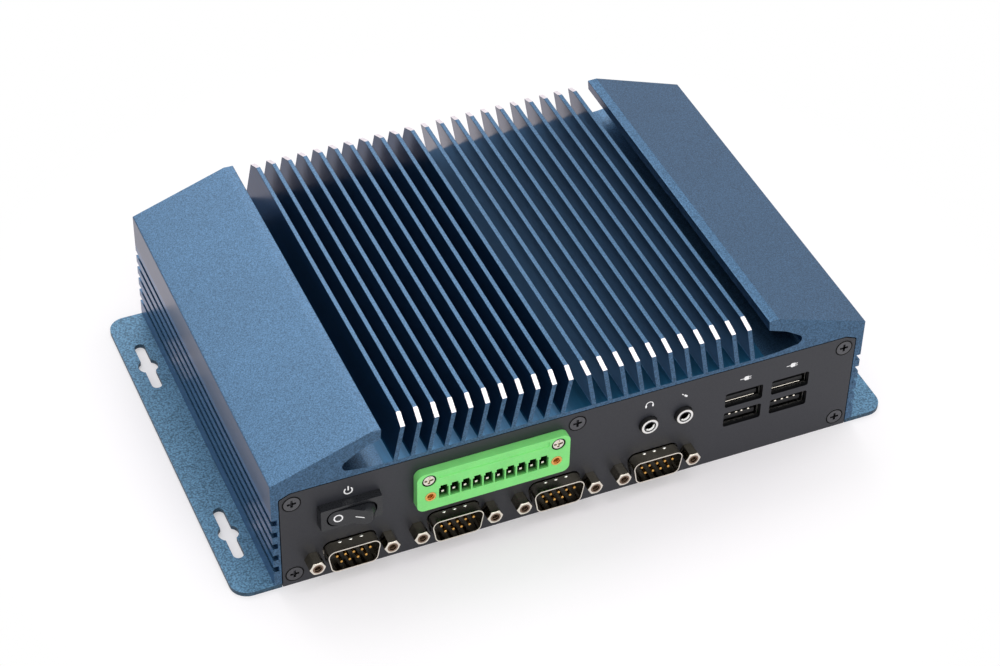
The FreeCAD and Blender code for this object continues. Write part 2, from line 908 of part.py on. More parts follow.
def make_rear_panel():
    """The panel with the power inlet, the display sockets and the network sockets."""
    body = make_panel("rear_panel", REAR_PANEL_INSIDE, BACK, rear=True)
    front = REAR_PANEL_INSIDE
    cut_round_holes(body, "dc_hole", [(d.dc_x, d.dc_z)],
                    d.dc_barrel + d.dc_barrel_play, front)
    cut_hole(body, "hdmi_hole",
             rectangle(d.hdmi_x, d.hdmi_width + 2 * d.hdmi_gap,
                       d.board_top + d.hdmi_foot - d.hdmi_gap,
                       d.hdmi_height + 2 * d.hdmi_gap, float(d.usb_cutout_radius)), front)
    cut_hole(body, "vga_hole", dsub_outline(d.vga_x, d.vga_z, float(d.vga_gap - d.vga_inset)),
             front)
    cut_round_holes(
        body, "vga_screw_holes",
        [(d.vga_x + side * d.jackscrew_spacing / 2, d.vga_z) for side in (-1, 1)],
        d.jackscrew_stud + d.screw_play, front)
    for index in (0, 1):
        cut_hole(body, f"lan_hole_{index}",
                 rectangle(d.lan_first + index * d.lan_pitch,
                           d.lan_width - 2 * (d.lan_collar_inset - d.lan_hole_gap),
                           d.board_top + d.lan_collar_rise - d.lan_hole_gap,
                           d.lan_height - 2 * (d.lan_collar_rise - d.lan_hole_gap),
                           float(d.lan_hole_radius)), front)
    for tier in (0, 1):
        cut_hole(body, f"rear_usb_hole_{tier}", usb_cutout(d.rear_usb_x, tier), front)
    return body


def countersunk_holes(body, name, sketch, outward):
    """Through holes with conical seats for the screw heads."""
    before = shape_volume(body)
    hole = body.newObject("PartDesign::Hole", name)
    hole.Profile = sketch
    hole.Threaded = False
    hole.DepthType = "ThroughAll"
    hole.Reversed = outward
    bind(hole, "Diameter", d.screw_shank + d.screw_play)
    hole.HoleCutType = "Countersink"
    hole.HoleCutCustomValues = True
    bind(hole, "HoleCutDiameter", d.screw_head + d.screw_head_play)
    hole.HoleCutCountersinkAngle = 90
    if not shape_volume(body) < before:
        raise RuntimeError(f"{name} cut nothing")
    return hole


def make_bottom_plate():
    """The plate that closes the underside and carries the flanges with their slots."""
    body = new_body("bottom_plate")
    sketch = new_sketch(body, "plate_sheet", "XY_Plane", 0)
    half = float(d.plate_width) / 2
    end = float(BACK)
    notch = float(d.panel_width) / 2 + float(d.panel_gap)
    seat = float(REAR_PANEL_INSIDE)
    corner = float(d.plate_corner)
    draw_outline(sketch, [
        (-half, -end, corner), (-notch, -end), (-notch, -seat), (notch, -seat),
        (notch, -end), (half, -end, corner), (half, end, corner), (notch, end),
        (notch, seat), (-notch, seat), (-notch, end), (-half, end, corner)])
    pad(body, sketch, d.plate_thickness)

    slots = new_sketch(body, "slots", "XY_Plane", d.plate_thickness)
    for x, y in slot_places():
        draw_outline(slots, stadium_upright(x, y, d.slot_width, d.slot_length))
    pocket(body, slots, d.plate_thickness)
    eyes = new_sketch(body, "slot_eyes", "XY_Plane", d.plate_thickness)
    for x, y in slot_places():
        draw_circle(eyes, x, y, d.slot_eye)
    pocket(body, eyes, d.plate_thickness)

    sketch = new_sketch(body, "plate_screw_holes", "XY_Plane", 0)
    for x, y in plate_screw_places() + drive_screw_places() + standoff_places():
        draw_circle(sketch, x, y, d.screw_shank + d.screw_play)
    countersunk_holes(body, "plate_screw_seats", sketch, outward=True)
    return body


def slot_places():
    return [(side * d.slot_offset, row * d.slot_pitch / 2)
            for side in (-1, 1) for row in (-1, 1)]


def stadium_upright(x, y, width, length):
    """A slot with round ends that runs along the sketch's second axis."""
    radius = float(width) / 2 - 0.001
    return rectangle(x, width, y - Size.of(length) / 2, length, radius)


def standoff_places():
    return [(x, y) for x in (-d.standoff_x, d.standoff_x)
            for y in (d.standoff_front, d.standoff_back)]


def drive_screw_places():
    return [(x * d.drive_screw_x / 2, y * d.drive_screw_y / 2)
            for x in (-1, 1) for y in (-1, 1)]


# ---------------------------------------------------------------- fasteners


def countersunk_screw(name, length):
    """A countersunk cross-head screw, pointing up, with its head's face at z = 0."""
    head = cone(name + "_head", 0, 0, 0, d.screw_head, d.screw_head - 2 * d.screw_head_depth,
                d.screw_head_depth)
    shank = cylinder(name + "_shank", 0, 0, d.screw_head_depth, d.screw_shank,
                     length - d.screw_head_depth)
    solid = fuse(name + "_solid", [head, shank])
    return cut(name, solid, cross_recess(name + "_cross", d.cross_depth))


def cross_recess(name, depth):
    """The two crossing slots of a cross-head screw whose face is at z = 0."""
    length = d.cross_length
    width = d.cross_width
    one = box(name + "_a", -length / 2, -width / 2, -0.5, length, width, depth + 0.5)
    two = box(name + "_b", -width / 2, -length / 2, -0.5, width, length, depth + 0.5)
    return [one, two]


def pan_screw(length):
    """A small pan-head screw, pointing down, with its head resting at z = 0."""
    head = cylinder("pan_head", 0, 0, 0, d.pan_head, d.pan_head_height)
    shank = cylinder("pan_shank", 0, 0, -length, d.screw_shank, length)
    return fuse("pan_screw", [head, shank])


def at(x, y, z, rotation=Rotation()):
    return Placement(Vector(float(x), float(y), float(z)), rotation)


POINT_BACK = Rotation(Vector(1, 0, 0), -90)
POINT_FRONT = Rotation(Vector(1, 0, 0), 90)


def make_screws():
    screw = countersunk_screw("countersunk_screw", d.screw_length)
    group("front_panel_screws", screw,
          [at(x, FRONT, z, POINT_BACK) for x, z in panel_screw_places()])
    group("rear_panel_screws", screw,
          [at(x, BACK, z, POINT_FRONT) for x, z in panel_screw_places()])
    group("bottom_screws", screw, [at(x, y, 0) for x, y in plate_screw_places()])


# ---------------------------------------------------------------- serial ports


def make_dsub_shell(label, x, z, panel_inside, facing):
    """The pressed nickel shell of a nine-way connector with its flange."""
    body = new_body(label)
    tip = panel_inside + facing * (d.panel_thickness + d.dsub_reach)
    back = panel_inside - facing * d.dsub_flange
    near, far = ordered(tip, panel_inside)
    bar_along_y(body, label + "_rim", dsub_outline(x, z), near, far)
    near, far = ordered(panel_inside, back)
    bar_along_y(body, label + "_flange",
                rectangle(x, d.dsub_flange_width, z - d.dsub_flange_height / 2,
                          d.dsub_flange_height, float(d.dsub_flange_radius)), near, far)
    near, far = ordered(tip, back)
    slot_along_y(body, label + "_bore", dsub_outline(x, z, -float(d.dsub_wall)), near, far)
    near, far = ordered(panel_inside, back)
    sketch = xz_sketch(body, label + "_screw_holes", near)
    for side in (-1, 1):
        draw_circle(sketch, x + side * d.jackscrew_spacing / 2, z, d.jackscrew_stud + d.screw_play)
    pocket(body, sketch, d.dsub_flange)
    return body


def ordered(one, two):
    return (one, two) if float(one) < float(two) else (two, one)


def make_com_insulator(label, x):
    """The black moulding that holds the pins, seated in the shell and on the board."""
    body = new_body(label)
    floor = FRONT + d.dsub_floor
    flange_back = PANEL_INSIDE + d.dsub_flange
    bar_along_y(body, label + "_nose", dsub_outline(x, d.com_height, -float(d.dsub_wall)),
                floor, flange_back)
    bar_along_y(body, label + "_base",
                rectangle(x, d.insulator_width, d.com_height - d.insulator_height / 2,
                          d.insulator_height, float(d.insulator_radius)),
                flange_back, d.io_board_front)
    return body


def make_serial_ports():
    """The four ports in a row, each with nine pins."""
    centres = com_centres()
    for number, x in enumerate(centres, start=1):
        make_dsub_shell(f"com_shell_{number}", x, d.com_height, PANEL_INSIDE, -1)
        make_com_insulator(f"com_insulator_{number}", x)
    floor = FRONT + d.dsub_floor
    tip = FRONT - d.pin_reach
    pin = cylinder("com_pin", 0, tip, 0, d.pin_diameter, floor - tip, axis="y")
    places = []
    for x in centres:
        for row, count in ((1, 5), (-1, 4)):
            for index in range(count):
                step = index - (count - 1) / 2
                places.append(at(x + step * d.pin_pitch, 0,
                                 d.com_height + row * d.pin_row / 2))
    group("com_pins", pin, places)


def make_jackscrews():
    """Hexagonal jackscrews of the serial ports and of the display port."""
    shank = hexagon("jack_hex", 0, -d.jackscrew_reach, 0, d.jackscrew_flats,
                    d.jackscrew_reach, axis="y")
    widest = d.jackscrew_face + 2 * math.sqrt(3) * d.jackscrew_reach
    chamfer = cone("jack_chamfer", 0, -d.jackscrew_reach, 0, d.jackscrew_face, widest,
                   d.jackscrew_reach, axis="y")
    chamfered = doc.addObject("Part::MultiCommon", "jack_chamfered")
    chamfered.Shapes = [shank, chamfer]
    stud = cylinder("jack_stud", 0, -0.5, 0, d.jackscrew_stud, d.jackscrew_stud_length + 0.5,
                    axis="y")
    bore = cylinder("jack_bore", 0, -d.jackscrew_reach - 1, 0, d.jackscrew_bore,
                    d.jackscrew_bore_depth + 1, axis="y")
    screw = cut("jackscrew", fuse("jack_solid", [chamfered, stud]), [bore])
    places = []
    for x in com_centres():
        for side in (-1, 1):
            places.append(at(x + side * d.jackscrew_spacing / 2, FRONT, d.com_height))
    turned = Rotation(Vector(0, 0, 1), 180)
    for side in (-1, 1):
        places.append(at(d.vga_x + side * d.jackscrew_spacing / 2, BACK, d.vga_z, turned))
    group("jackscrews", screw, places)


# ---------------------------------------------------------------- rocker switch


def stadium(x, z, width, height):
    """An outline with round ends that lies across an upright sketch."""
    radius = float(height) / 2 - 0.001
    return rectangle(x, width, z - Size.of(height) / 2, height, radius)


def make_switch_frame():
    """The moulded frame: a rounded bezel outside, a snapped-in body behind the panel."""
    body = new_body("switch_frame")
    face = FRONT - d.bezel_reach
    back = FRONT + d.switch_body_depth
    bar_along_y(body, "switch_body",
                rectangle(d.switch_x, d.switch_body_width,
                          d.switch_z - d.switch_body_height / 2, d.switch_body_height),
                face, back)
    sketch = xz_sketch(body, "switch_bezel", FRONT)
    draw_outline(sketch, rectangle(d.switch_x, d.bezel_width,
                                   d.switch_z - d.bezel_height / 2, d.bezel_height,
                                   float(d.bezel_radius)))
    bezel = pad(body, sketch, d.bezel_reach)
    bind(bezel, "TaperAngle", -d.bezel_taper)
    doc.recompute()
    depth = d.bezel_reach - d.rocker_pivot + d.rocker_radius + d.rocker_gap
    slot_along_y(body, "rocker_opening",
                 stadium(d.switch_x, d.switch_z, d.rocker_opening_width,
                         d.rocker_opening_height), face, face + depth)
    reach = d.rocker_height / 2 + d.trunnion_length + d.trunnion_end_gap
    sketch = new_sketch(body, "trunnion_seats", "XY_Plane", d.switch_z + reach)
    draw_circle(sketch, d.switch_x, FRONT - d.rocker_pivot, d.trunnion + d.trunnion_play)
    pocket(body, sketch, 2 * reach)
    return body


def make_rocker():
    """The rocker: a disc with a stadium-shaped rim, dished on its face, on two trunnions."""
    body = new_body("switch_rocker")
    half_height = float(d.rocker_height) / 2
    radius = float(d.rocker_radius)
    pivot_y = float(FRONT - d.rocker_pivot)
    pivot_x = float(d.switch_x)
    sketch = xz_sketch(body, "rocker_disc", FRONT - d.rocker_pivot)
    middle = float(d.switch_z)
    edges = rounded_edges([
        (pivot_x, middle - half_height),
        (pivot_x + radius, middle - half_height, half_height - 0.001),
        (pivot_x + radius, middle + half_height, half_height - 0.001),
        (pivot_x, middle + half_height)])
    sketch.addGeometry(edges, False)
    sketch.addGeometry(Part.LineSegment(Vector(pivot_x, middle - 5, 0),
                                        Vector(pivot_x, middle + 5, 0)), True)
    disc = body.newObject("PartDesign::Revolution", "rocker_disc_turned")
    disc.Profile = sketch
    disc.ReferenceAxis = (sketch, ["Axis0"])
    disc.Angle = 360
    doc.recompute()

    # the face is two flat halves that meet in a shallow V; the back is cut off flat
    tip_angle = math.radians(float(d.rocker_tip_angle))
    rise = math.tan(math.radians(float(d.rocker_dish)))
    valley = radius * (math.sin(tip_angle) - math.cos(tip_angle) * rise)
    far = radius + 2
    back = -float(d.rocker_rear)
    face = [(-far, valley + far * rise), (0, valley), (far, valley + far * rise),
            (far, far), (-far, far)]
    rear = [(-far, -far), (far, -far), (far, back), (-far, back)]
    turn = math.radians(float(d.rocker_angle))
    sketch = new_sketch(body, "rocker_faces", "XY_Plane", d.switch_z + d.rocker_height)
    for outline in (face, rear):
        points = []
        for along, out in outline:
            x = along * math.cos(turn) - out * math.sin(turn)
            y = along * math.sin(turn) + out * math.cos(turn)
            points.append((pivot_x + x, pivot_y - y))
        draw_outline(sketch, points)
    pocket(body, sketch, 2 * d.rocker_height)
    for name, bottom in (
            ("lower", d.switch_z - d.rocker_height / 2 - d.trunnion_length),
            ("upper", d.switch_z + d.rocker_height / 2 - d.trunnion_root)):
        sketch = new_sketch(body, f"trunnion_{name}", "XY_Plane", bottom)
        draw_circle(sketch, d.switch_x, FRONT - d.rocker_pivot, d.trunnion)
        pad(body, sketch, d.trunnion_length + d.trunnion_root)
    return body


def make_switch_tabs():
    """Three blade terminals behind the switch."""
    tab = box("switch_tab", -d.tab_width / 2, FRONT + d.switch_body_depth,
              -d.tab_thickness / 2, d.tab_width, d.tab_length, d.tab_thickness)
    group("switch_tabs", tab, [at(d.switch_x + step * d.tab_pitch, 0, d.switch_z)
                               for step in (-1, 0, 1)])


# ---------------------------------------------------------------- terminal header


def header_sides(spacing):
    return [d.header_x - spacing / 2, d.header_x + spacing / 2]


def make_header():
    """The green ten-way header: a flange outside the panel and a body through it."""
    body = new_body("terminal_header")
    face = FRONT - d.header_reach
    bar_along_y(body, "header_flange",
                rectangle(d.header_x, d.header_width, d.header_bottom, d.header_height,
                          float(d.header_radius)), face, FRONT)
    bar_along_y(body, "header_body",
                rectangle(d.header_x, d.header_body_width, d.header_body_bottom,
                          d.header_body_height), FRONT, d.io_board_front)
    slot_along_y(body, "header_band",
                 rectangle(d.header_x, d.band_width, d.band_bottom, d.band_height),
                 face, face + d.band_depth)
    for name, spacing, z, diameter, length in (
            ("insert_seats", d.insert_spacing, d.insert_z, d.insert_diameter, d.insert_length),
            ("screw_heads", d.header_screw_spacing, d.header_screw_z,
             d.header_counterbore, d.header_counterbore_depth),
            ("screw_shanks", d.header_screw_spacing, d.header_screw_z,
             d.screw_shank + d.header_screw_play, d.header_reach)):
        sketch = xz_sketch(body, name, face)
        for x in header_sides(spacing):
            draw_circle(sketch, x, z, diameter)
        pocket(body, sketch, length)
    first = d.header_x - d.cell_pitch * (d.cell_count - 1) / 2
    half = float(d.cell_width) / 2
    key = float(d.cell_key_width) / 2
    low = float(d.cell_bottom)
    shoulder = low + float(d.cell_height)
    high = shoulder + float(d.cell_key_height)
    x = float(first)
    cell = slot_along_y(body, "cell", [
        (x - half, low), (x + half, low), (x + half, shoulder), (x + key, shoulder),
        (x + key, high), (x - key, high), (x - key, shoulder), (x - half, shoulder)],
        face, face + d.cell_depth)
    pattern(body, cell, "X_Axis", d.cell_pitch, d.cell_count)
    return body


def make_header_hardware():
    """The header's pins, threaded inserts and flange screws."""
    face = FRONT - d.header_reach
    cell_floor = face + d.cell_depth
    tip = FRONT - d.header_pin_reach
    half = d.header_pin / 2
    pin = box("header_pin", -half, tip, -half, d.header_pin, cell_floor - tip, d.header_pin)
    first = d.header_x - d.cell_pitch * (d.cell_count - 1) / 2
    group("terminal_pins", pin, [at(first + index * d.cell_pitch, 0, d.insert_z)
                                 for index in range(int(d.cell_count.value))])

    tube = cylinder("insert_tube", 0, face, 0, d.insert_diameter, d.insert_length, axis="y")
    bore = cylinder("insert_bore", 0, face - 1, 0, d.insert_bore, d.insert_bore_depth + 1,
                    axis="y")
    insert = cut("insert", tube, [bore])
    group("terminal_inserts", insert,
          [at(x, 0, d.insert_z) for x in header_sides(d.insert_spacing)])

    height = d.header_screw_head_height
    head = cylinder("flange_screw_head", 0, 0, 0, d.header_screw_head, height)
    shank = cylinder("flange_screw_shank", 0, 0, height - 0.2, d.screw_shank,
                     d.header_screw_length - height + 0.2)
    screw = cut("flange_screw", fuse("flange_screw_solid", [head, shank]),
                cross_recess("flange_cross", d.header_cross_depth))
    seat = face + d.header_counterbore_depth - height
    group("terminal_screws", screw, [at(x, seat, d.header_screw_z, POINT_BACK)
                                     for x in header_sides(d.header_screw_spacing)])


# ---------------------------------------------------------------- audio jacks


def make_audio_jacks():
    """Two jacks: a black block with a barrel through the panel, and its plated sleeve."""
    face = FRONT - d.jack_reach
    for index in (0, 1):
        x = d.jack_first + index * d.jack_pitch
        bottom = d.jack_z - d.jack_body / 2
        block = box(f"jack_block_{index}", x - d.jack_body / 2, PANEL_INSIDE, bottom,
                    d.jack_body, d.io_board_front - PANEL_INSIDE, d.jack_body)
        barrel = cylinder(f"jack_barrel_{index}", x, face, d.jack_z, d.jack_barrel,
                          d.jack_reach + d.panel_thickness + 1, axis="y")
        bore = cylinder(f"jack_hollow_{index}", x, face - 1, d.jack_z, d.sleeve_diameter,
                        d.jack_bore_depth + 1, axis="y")
        rim = cylinder(f"jack_rim_{index}", x, face - 1, d.jack_z, d.jack_rim,
                       d.jack_rim_depth + 1, axis="y")
        jack = cut(f"jack_{index}", fuse(f"jack_solid_{index}", [block, barrel]), [bore, rim])
        keep(jack, f"audio_jack_{index + 1}")

        ring = cylinder(f"sleeve_ring_{index}", x, face, d.jack_z, d.jack_rim,
                        d.jack_rim_depth, axis="y")
        tube = cylinder(f"sleeve_tube_{index}", x, face, d.jack_z, d.sleeve_diameter,
                        d.jack_bore_depth, axis="y")
        hollow = cylinder(f"sleeve_hollow_{index}", x, face - 1, d.jack_z, d.jack_bore,
                          d.jack_bore_depth + 2, axis="y")
        sleeve = cut(f"sleeve_{index}", fuse(f"sleeve_solid_{index}", [ring, tube]), [hollow])
        keep(sleeve, f"audio_sleeve_{index + 1}")


# ---------------------------------------------------------------- USB stacks


def make_usb_stack(label, x, panel_outside, facing):
    """Two sockets one above the other in one folded shell, standing on the main board."""
    body = new_body(label + "_shell")
    mouth = panel_outside - facing * d.usb_setback
    near, far = ordered(mouth, mouth - facing * d.usb_depth)
    bar_along_y(body, label + "_block",
                rectangle(x, d.usb_shell_width, d.board_top,
                          d.usb_upper + d.usb_shell_height / 2 - d.board_top), near, far)
    for tier in (0, 1):
        z = d.usb_upper - tier * d.usb_tier
        near, far = ordered(mouth, mouth - facing * d.usb_bay)
        slot_along_y(body, f"{label}_bay_{tier}",
                     rectangle(x, d.usb_shell_width - 2 * d.usb_wall,
                               z - d.usb_shell_height / 2 + d.usb_wall,
                               d.usb_shell_height - 2 * d.usb_wall,
                               float(d.usb_bay_radius)), near, far)

    tip = mouth - facing * d.tongue_setback
    floor = mouth - facing * d.usb_bay
    near, far = ordered(tip, floor)
    tongues = []
    for tier in (0, 1):
        z = d.usb_upper - tier * d.usb_tier - d.tongue_drop
        tongues.append(box(f"{label}_tongue_{tier}", x - d.tongue_width / 2, near,
                           z - d.tongue_thickness / 2, d.tongue_width, far - near,
                           d.tongue_thickness))
    pair = doc.addObject("Part::Compound", label + "_tongue_pair")
    pair.Links = tongues
    keep(pair, label + "_tongues")


# ---------------------------------------------------------------- boards inside


def make_io_board():
    """The upright board that the serial ports, the header and the jacks stand on."""
    body = new_body("io_board")
    left = float(d.io_board_left)
    right = float(d.io_board_right)
    bottom = float(d.io_board_bottom)
    top = float(d.io_board_top)
    step_x = float(d.io_board_step_x)
    step_z = float(d.io_board_step_z)
    bar_along_y(body, "io_board_sheet",
                [(left, bottom), (right, bottom), (right, top), (step_x, top),
                 (step_x, step_z), (left, step_z)],
                d.io_board_front, d.io_board_front + d.board_thickness)


def make_main_board():
    """The flat board, with a step where it runs forward under the USB stacks."""
    body = new_body("main_board")
    half = float(d.board_width) / 2
    step = float(d.board_step_x)
    sketch = new_sketch(body, "main_board_sheet", "XY_Plane", d.board_top - d.board_thickness)
    draw_outline(sketch, [
        (-half, float(d.board_front)), (step, float(d.board_front)),
        (step, float(d.board_step_front)), (half, float(d.board_step_front)),
        (half, float(d.board_back)), (-half, float(d.board_back))])
    pad(body, sketch, d.board_thickness)
    sketch = new_sketch(body, "main_board_holes", "XY_Plane", d.board_top)
    for x, y in standoff_places():
        draw_circle(sketch, x, y, d.screw_shank + d.screw_play)
    pocket(body, sketch, d.board_thickness)


def make_board_hardware():
    """Four threaded posts and the screws that hold the main board on them."""
    height = d.board_top - d.board_thickness - d.plate_thickness
    post = hexagon("standoff_post", 0, 0, 0, d.standoff_flats, height)
    hole = cylinder("standoff_hole", 0, 0, -1, d.tapped_hole, height + 2)
    standoff = cut("standoff", post, [hole])
    group("board_standoffs", standoff,
          [at(x, y, d.plate_thickness) for x, y in standoff_places()])
    group("board_screws", pan_screw(d.pan_screw_length),
          [at(x, y, d.board_top) for x, y in standoff_places()])


def make_processor():
    """The processor, and the block and pad that carry its heat to the housing."""
    half = d.cpu_size / 2
    keep(box("processor_box", -half, -half, d.board_top, d.cpu_size, d.cpu_size,
             d.cpu_thickness), "processor")
    top = d.board_top + d.cpu_thickness
    side = d.spreader_size / 2
    foot_side = d.spreader_foot_size / 2
    foot = box("spreader_foot", -foot_side, -foot_side, top, d.spreader_foot_size,
               d.spreader_foot_size, d.spreader_foot_height)
    block_bottom = top + d.spreader_foot_height
    block = box("spreader_block", -side, -side, block_bottom, d.spreader_size,
                d.spreader_size, d.ceiling - d.pad_thickness - block_bottom)
    keep(fuse("spreader", [foot, block]), "heat_spreader")
    keep(box("pad_box", -side, -side, d.ceiling - d.pad_thickness, d.spreader_size,
             d.spreader_size, d.pad_thickness), "thermal_pad")


def make_memory():
    """A memory module lying flat in its socket."""
    left = d.memory_x - d.memory_width / 2
    edge = d.memory_y - d.memory_engagement
    bottom = d.board_top + d.memory_lift
    socket = box("socket_bar", left - d.memory_socket_end, d.memory_y - d.memory_socket_depth,
                 d.board_top, d.memory_width + 2 * d.memory_socket_end,
                 d.memory_socket_depth, d.memory_socket_height)
    slit = box("socket_slit", left, edge, bottom, d.memory_width, d.memory_slit,
               d.memory_thickness)
    keep(cut("socket", socket, [slit]), "memory_socket")
    card = box("module_card", left, edge, bottom, d.memory_width,
               d.memory_length, d.memory_thickness)
    chips = [box(f"module_chip_{index}",
                 left + d.memory_chip_first + index * d.memory_chip_pitch,
                 d.memory_y + d.memory_chip_setback, bottom + d.memory_thickness,
                 d.memory_chip_width, d.memory_chip_length, d.memory_chip_height)
             for index in range(int(d.memory_chip_count.value))]
    keep(fuse("module", [card] + chips), "memory_module")


def make_coin_cell():
    """The clock's cell in its round holder."""
    bottom = d.board_top + d.coin_holder_floor
    holder = cylinder("holder_cup", d.coin_x, d.coin_y, d.board_top, d.coin_holder_diameter,
                      d.coin_holder_height)
    seat = cylinder("holder_seat", d.coin_x, d.coin_y, bottom,
                    d.coin_diameter + d.coin_holder_play, d.coin_holder_height)
    keep(cut("holder", holder, [seat]), "coin_cell_holder")
    keep(cylinder("coin", d.coin_x, d.coin_y, bottom, d.coin_diameter, d.coin_thickness),
         "coin_cell")


def make_drive():
    """The drive that lies on the bottom plate, and the short screws from below."""
    drive = box("drive_case", -d.drive_length / 2, -d.drive_width / 2, d.plate_thickness,
                d.drive_length, d.drive_width, d.drive_thickness)
    holes = [cylinder(f"drive_hole_{index}", x, y, d.plate_thickness - 1, d.tapped_hole,
                      d.drive_hole_depth + 1)
             for index, (x, y) in enumerate(drive_screw_places())]
    keep(cut("drive", drive, holes), "solid_state_drive")
    screw = countersunk_screw("short_screw", d.short_screw_length)
    group("mounting_screws", screw,
          [at(x, y, 0) for x, y in drive_screw_places() + standoff_places()])


def make_chokes():
    """A row of closed chokes beside the processor."""
    half = d.choke_size / 2
    choke = box("choke_case", -half, -half, 0, d.choke_size, d.choke_size, d.choke_height)
    group("power_chokes", choke,
          [at(d.choke_first + index * d.choke_pitch, d.choke_y, d.board_top)
           for index in range(int(d.choke_count.value))])


# ---------------------------------------------------------------- rear ports


def make_dc_inlet():
    """A threaded coaxial inlet with its centre pin, held by a nut outside the panel."""
    inside = REAR_PANEL_INSIDE
    block = box("dc_block", d.dc_x - d.dc_block_width / 2, inside - d.dc_block_depth,
                d.board_top, d.dc_block_width, d.dc_block_depth, d.dc_block_height)
    barrel = cylinder("dc_barrel", d.dc_x, inside - 1, d.dc_z, d.dc_barrel,
                      d.panel_thickness + d.dc_reach + 1, axis="y")
    depth = d.dc_bore_depth + d.panel_thickness + d.dc_reach
    bore = cylinder("dc_bore", d.dc_x, inside - d.dc_bore_depth, d.dc_z, d.dc_bore,
                    depth + 1, axis="y")
    keep(cut("dc_solid", fuse("dc_outer", [block, barrel]), [bore]), "dc_inlet")
    keep(cylinder("dc_centre", d.dc_x, inside - d.dc_bore_depth, d.dc_z, d.dc_pin,
                  depth - d.dc_pin_setback, axis="y"), "dc_inlet_pin")
    nut = hexagon("dc_nut_hex", d.dc_x, BACK, d.dc_z, d.dc_nut_flats, d.dc_nut_thickness,
                  axis="y")
    hole = cylinder("dc_nut_hole", d.dc_x, BACK - 1, d.dc_z, d.dc_barrel + d.dc_nut_play,
                    d.dc_nut_thickness + 2, axis="y")
    keep(cut("dc_nut", nut, [hole]), "dc_inlet_nut")


def make_display_ports():
    """The video socket in a D shell and the small digital one beside it."""
    make_dsub_shell_rear()
    make_hdmi()


def make_dsub_shell_rear():
    """The display port's shell and flange, and the moulding with its fifteen contacts."""
    body = new_body("vga_shell")
    tip = BACK + d.vga_reach
    back = REAR_PANEL_INSIDE - d.dsub_flange
    rim = -float(d.vga_inset)
    bore = rim - float(d.dsub_wall)
    bar_along_y(body, "vga_rim", dsub_outline(d.vga_x, d.vga_z, rim), back, tip)
    bar_along_y(body, "vga_flange",
                rectangle(d.vga_x, d.dsub_flange_width, d.vga_z - d.dsub_flange_height / 2,
                          d.dsub_flange_height, float(d.dsub_flange_radius)),
                back, REAR_PANEL_INSIDE)
    slot_along_y(body, "vga_bore", dsub_outline(d.vga_x, d.vga_z, bore), back, tip)
    sketch = xz_sketch(body, "vga_flange_holes", back)
    for side in (-1, 1):
        draw_circle(sketch, d.vga_x + side * d.jackscrew_spacing / 2, d.vga_z,
                    d.jackscrew_stud + d.screw_play)
    pocket(body, sketch, d.dsub_flange)

    core = new_body("vga_insulator")
    face = BACK + d.vga_core_reach
    bar_along_y(core, "vga_nose", dsub_outline(d.vga_x, d.vga_z, bore), back, face)
    bar_along_y(core, "vga_base",
                rectangle(d.vga_x, d.insulator_width, d.board_top, d.vga_base_height),
                back - d.vga_base_depth, back)
    first = d.vga_x - (d.vga_columns - 1) * d.vga_column_pitch / 2
    sketch = xz_sketch(core, "vga_contacts", face - d.vga_contact_depth)
    for row in (-1, 0, 1):
        draw_circle(sketch, first + d.vga_column_pitch / 2 * (row % 2),
                    d.vga_z + row * d.vga_row_pitch, d.vga_contact)
    holes = pocket(core, sketch, d.vga_contact_depth)
    pattern(core, holes, "X_Axis", d.vga_column_pitch, d.vga_columns)


def make_hdmi():
    """The digital display socket: a folded shell on a foot, with its contact tongue."""
    body = new_body("hdmi_shell")
    middle = d.board_top + d.hdmi_foot + d.hdmi_height / 2
    mouth = BACK - d.socket_setback
    floor = mouth - d.hdmi_bay
    bar_along_y(body, "hdmi_case", hdmi_outline(middle, 0.0), mouth - d.hdmi_length, mouth)
    slot_along_y(body, "hdmi_bay", hdmi_outline(middle, float(d.hdmi_wall)), floor, mouth)
    sketch = xz_sketch(body, "hdmi_feet", mouth - d.hdmi_foot_setback)
    draw_outline(sketch, rectangle(d.hdmi_x, d.hdmi_foot_width, d.board_top, d.hdmi_foot))
    pad(body, sketch, d.hdmi_foot_length)
    keep(box("hdmi_tongue_box", d.hdmi_x - d.hdmi_tongue_width / 2, floor,
             middle - d.hdmi_tongue_drop, d.hdmi_tongue_width, d.hdmi_tongue_length,
             d.hdmi_tongue_thickness), "hdmi_tongue")


def hdmi_outline(middle, inset):
    """The socket's section, with both lower corners cut off."""
    half = float(d.hdmi_width) / 2 - inset
    rise = float(d.hdmi_height) / 2 - inset
    in_x = half - float(d.hdmi_shoulder_x)
    in_z = rise - float(d.hdmi_shoulder_z)
    x = float(d.hdmi_x)
    z = float(middle)
    return [(x - in_x, z - rise), (x + in_x, z - rise), (x + half, z - in_z),
            (x + half, z + rise), (x - half, z + rise), (x - half, z - in_z)]


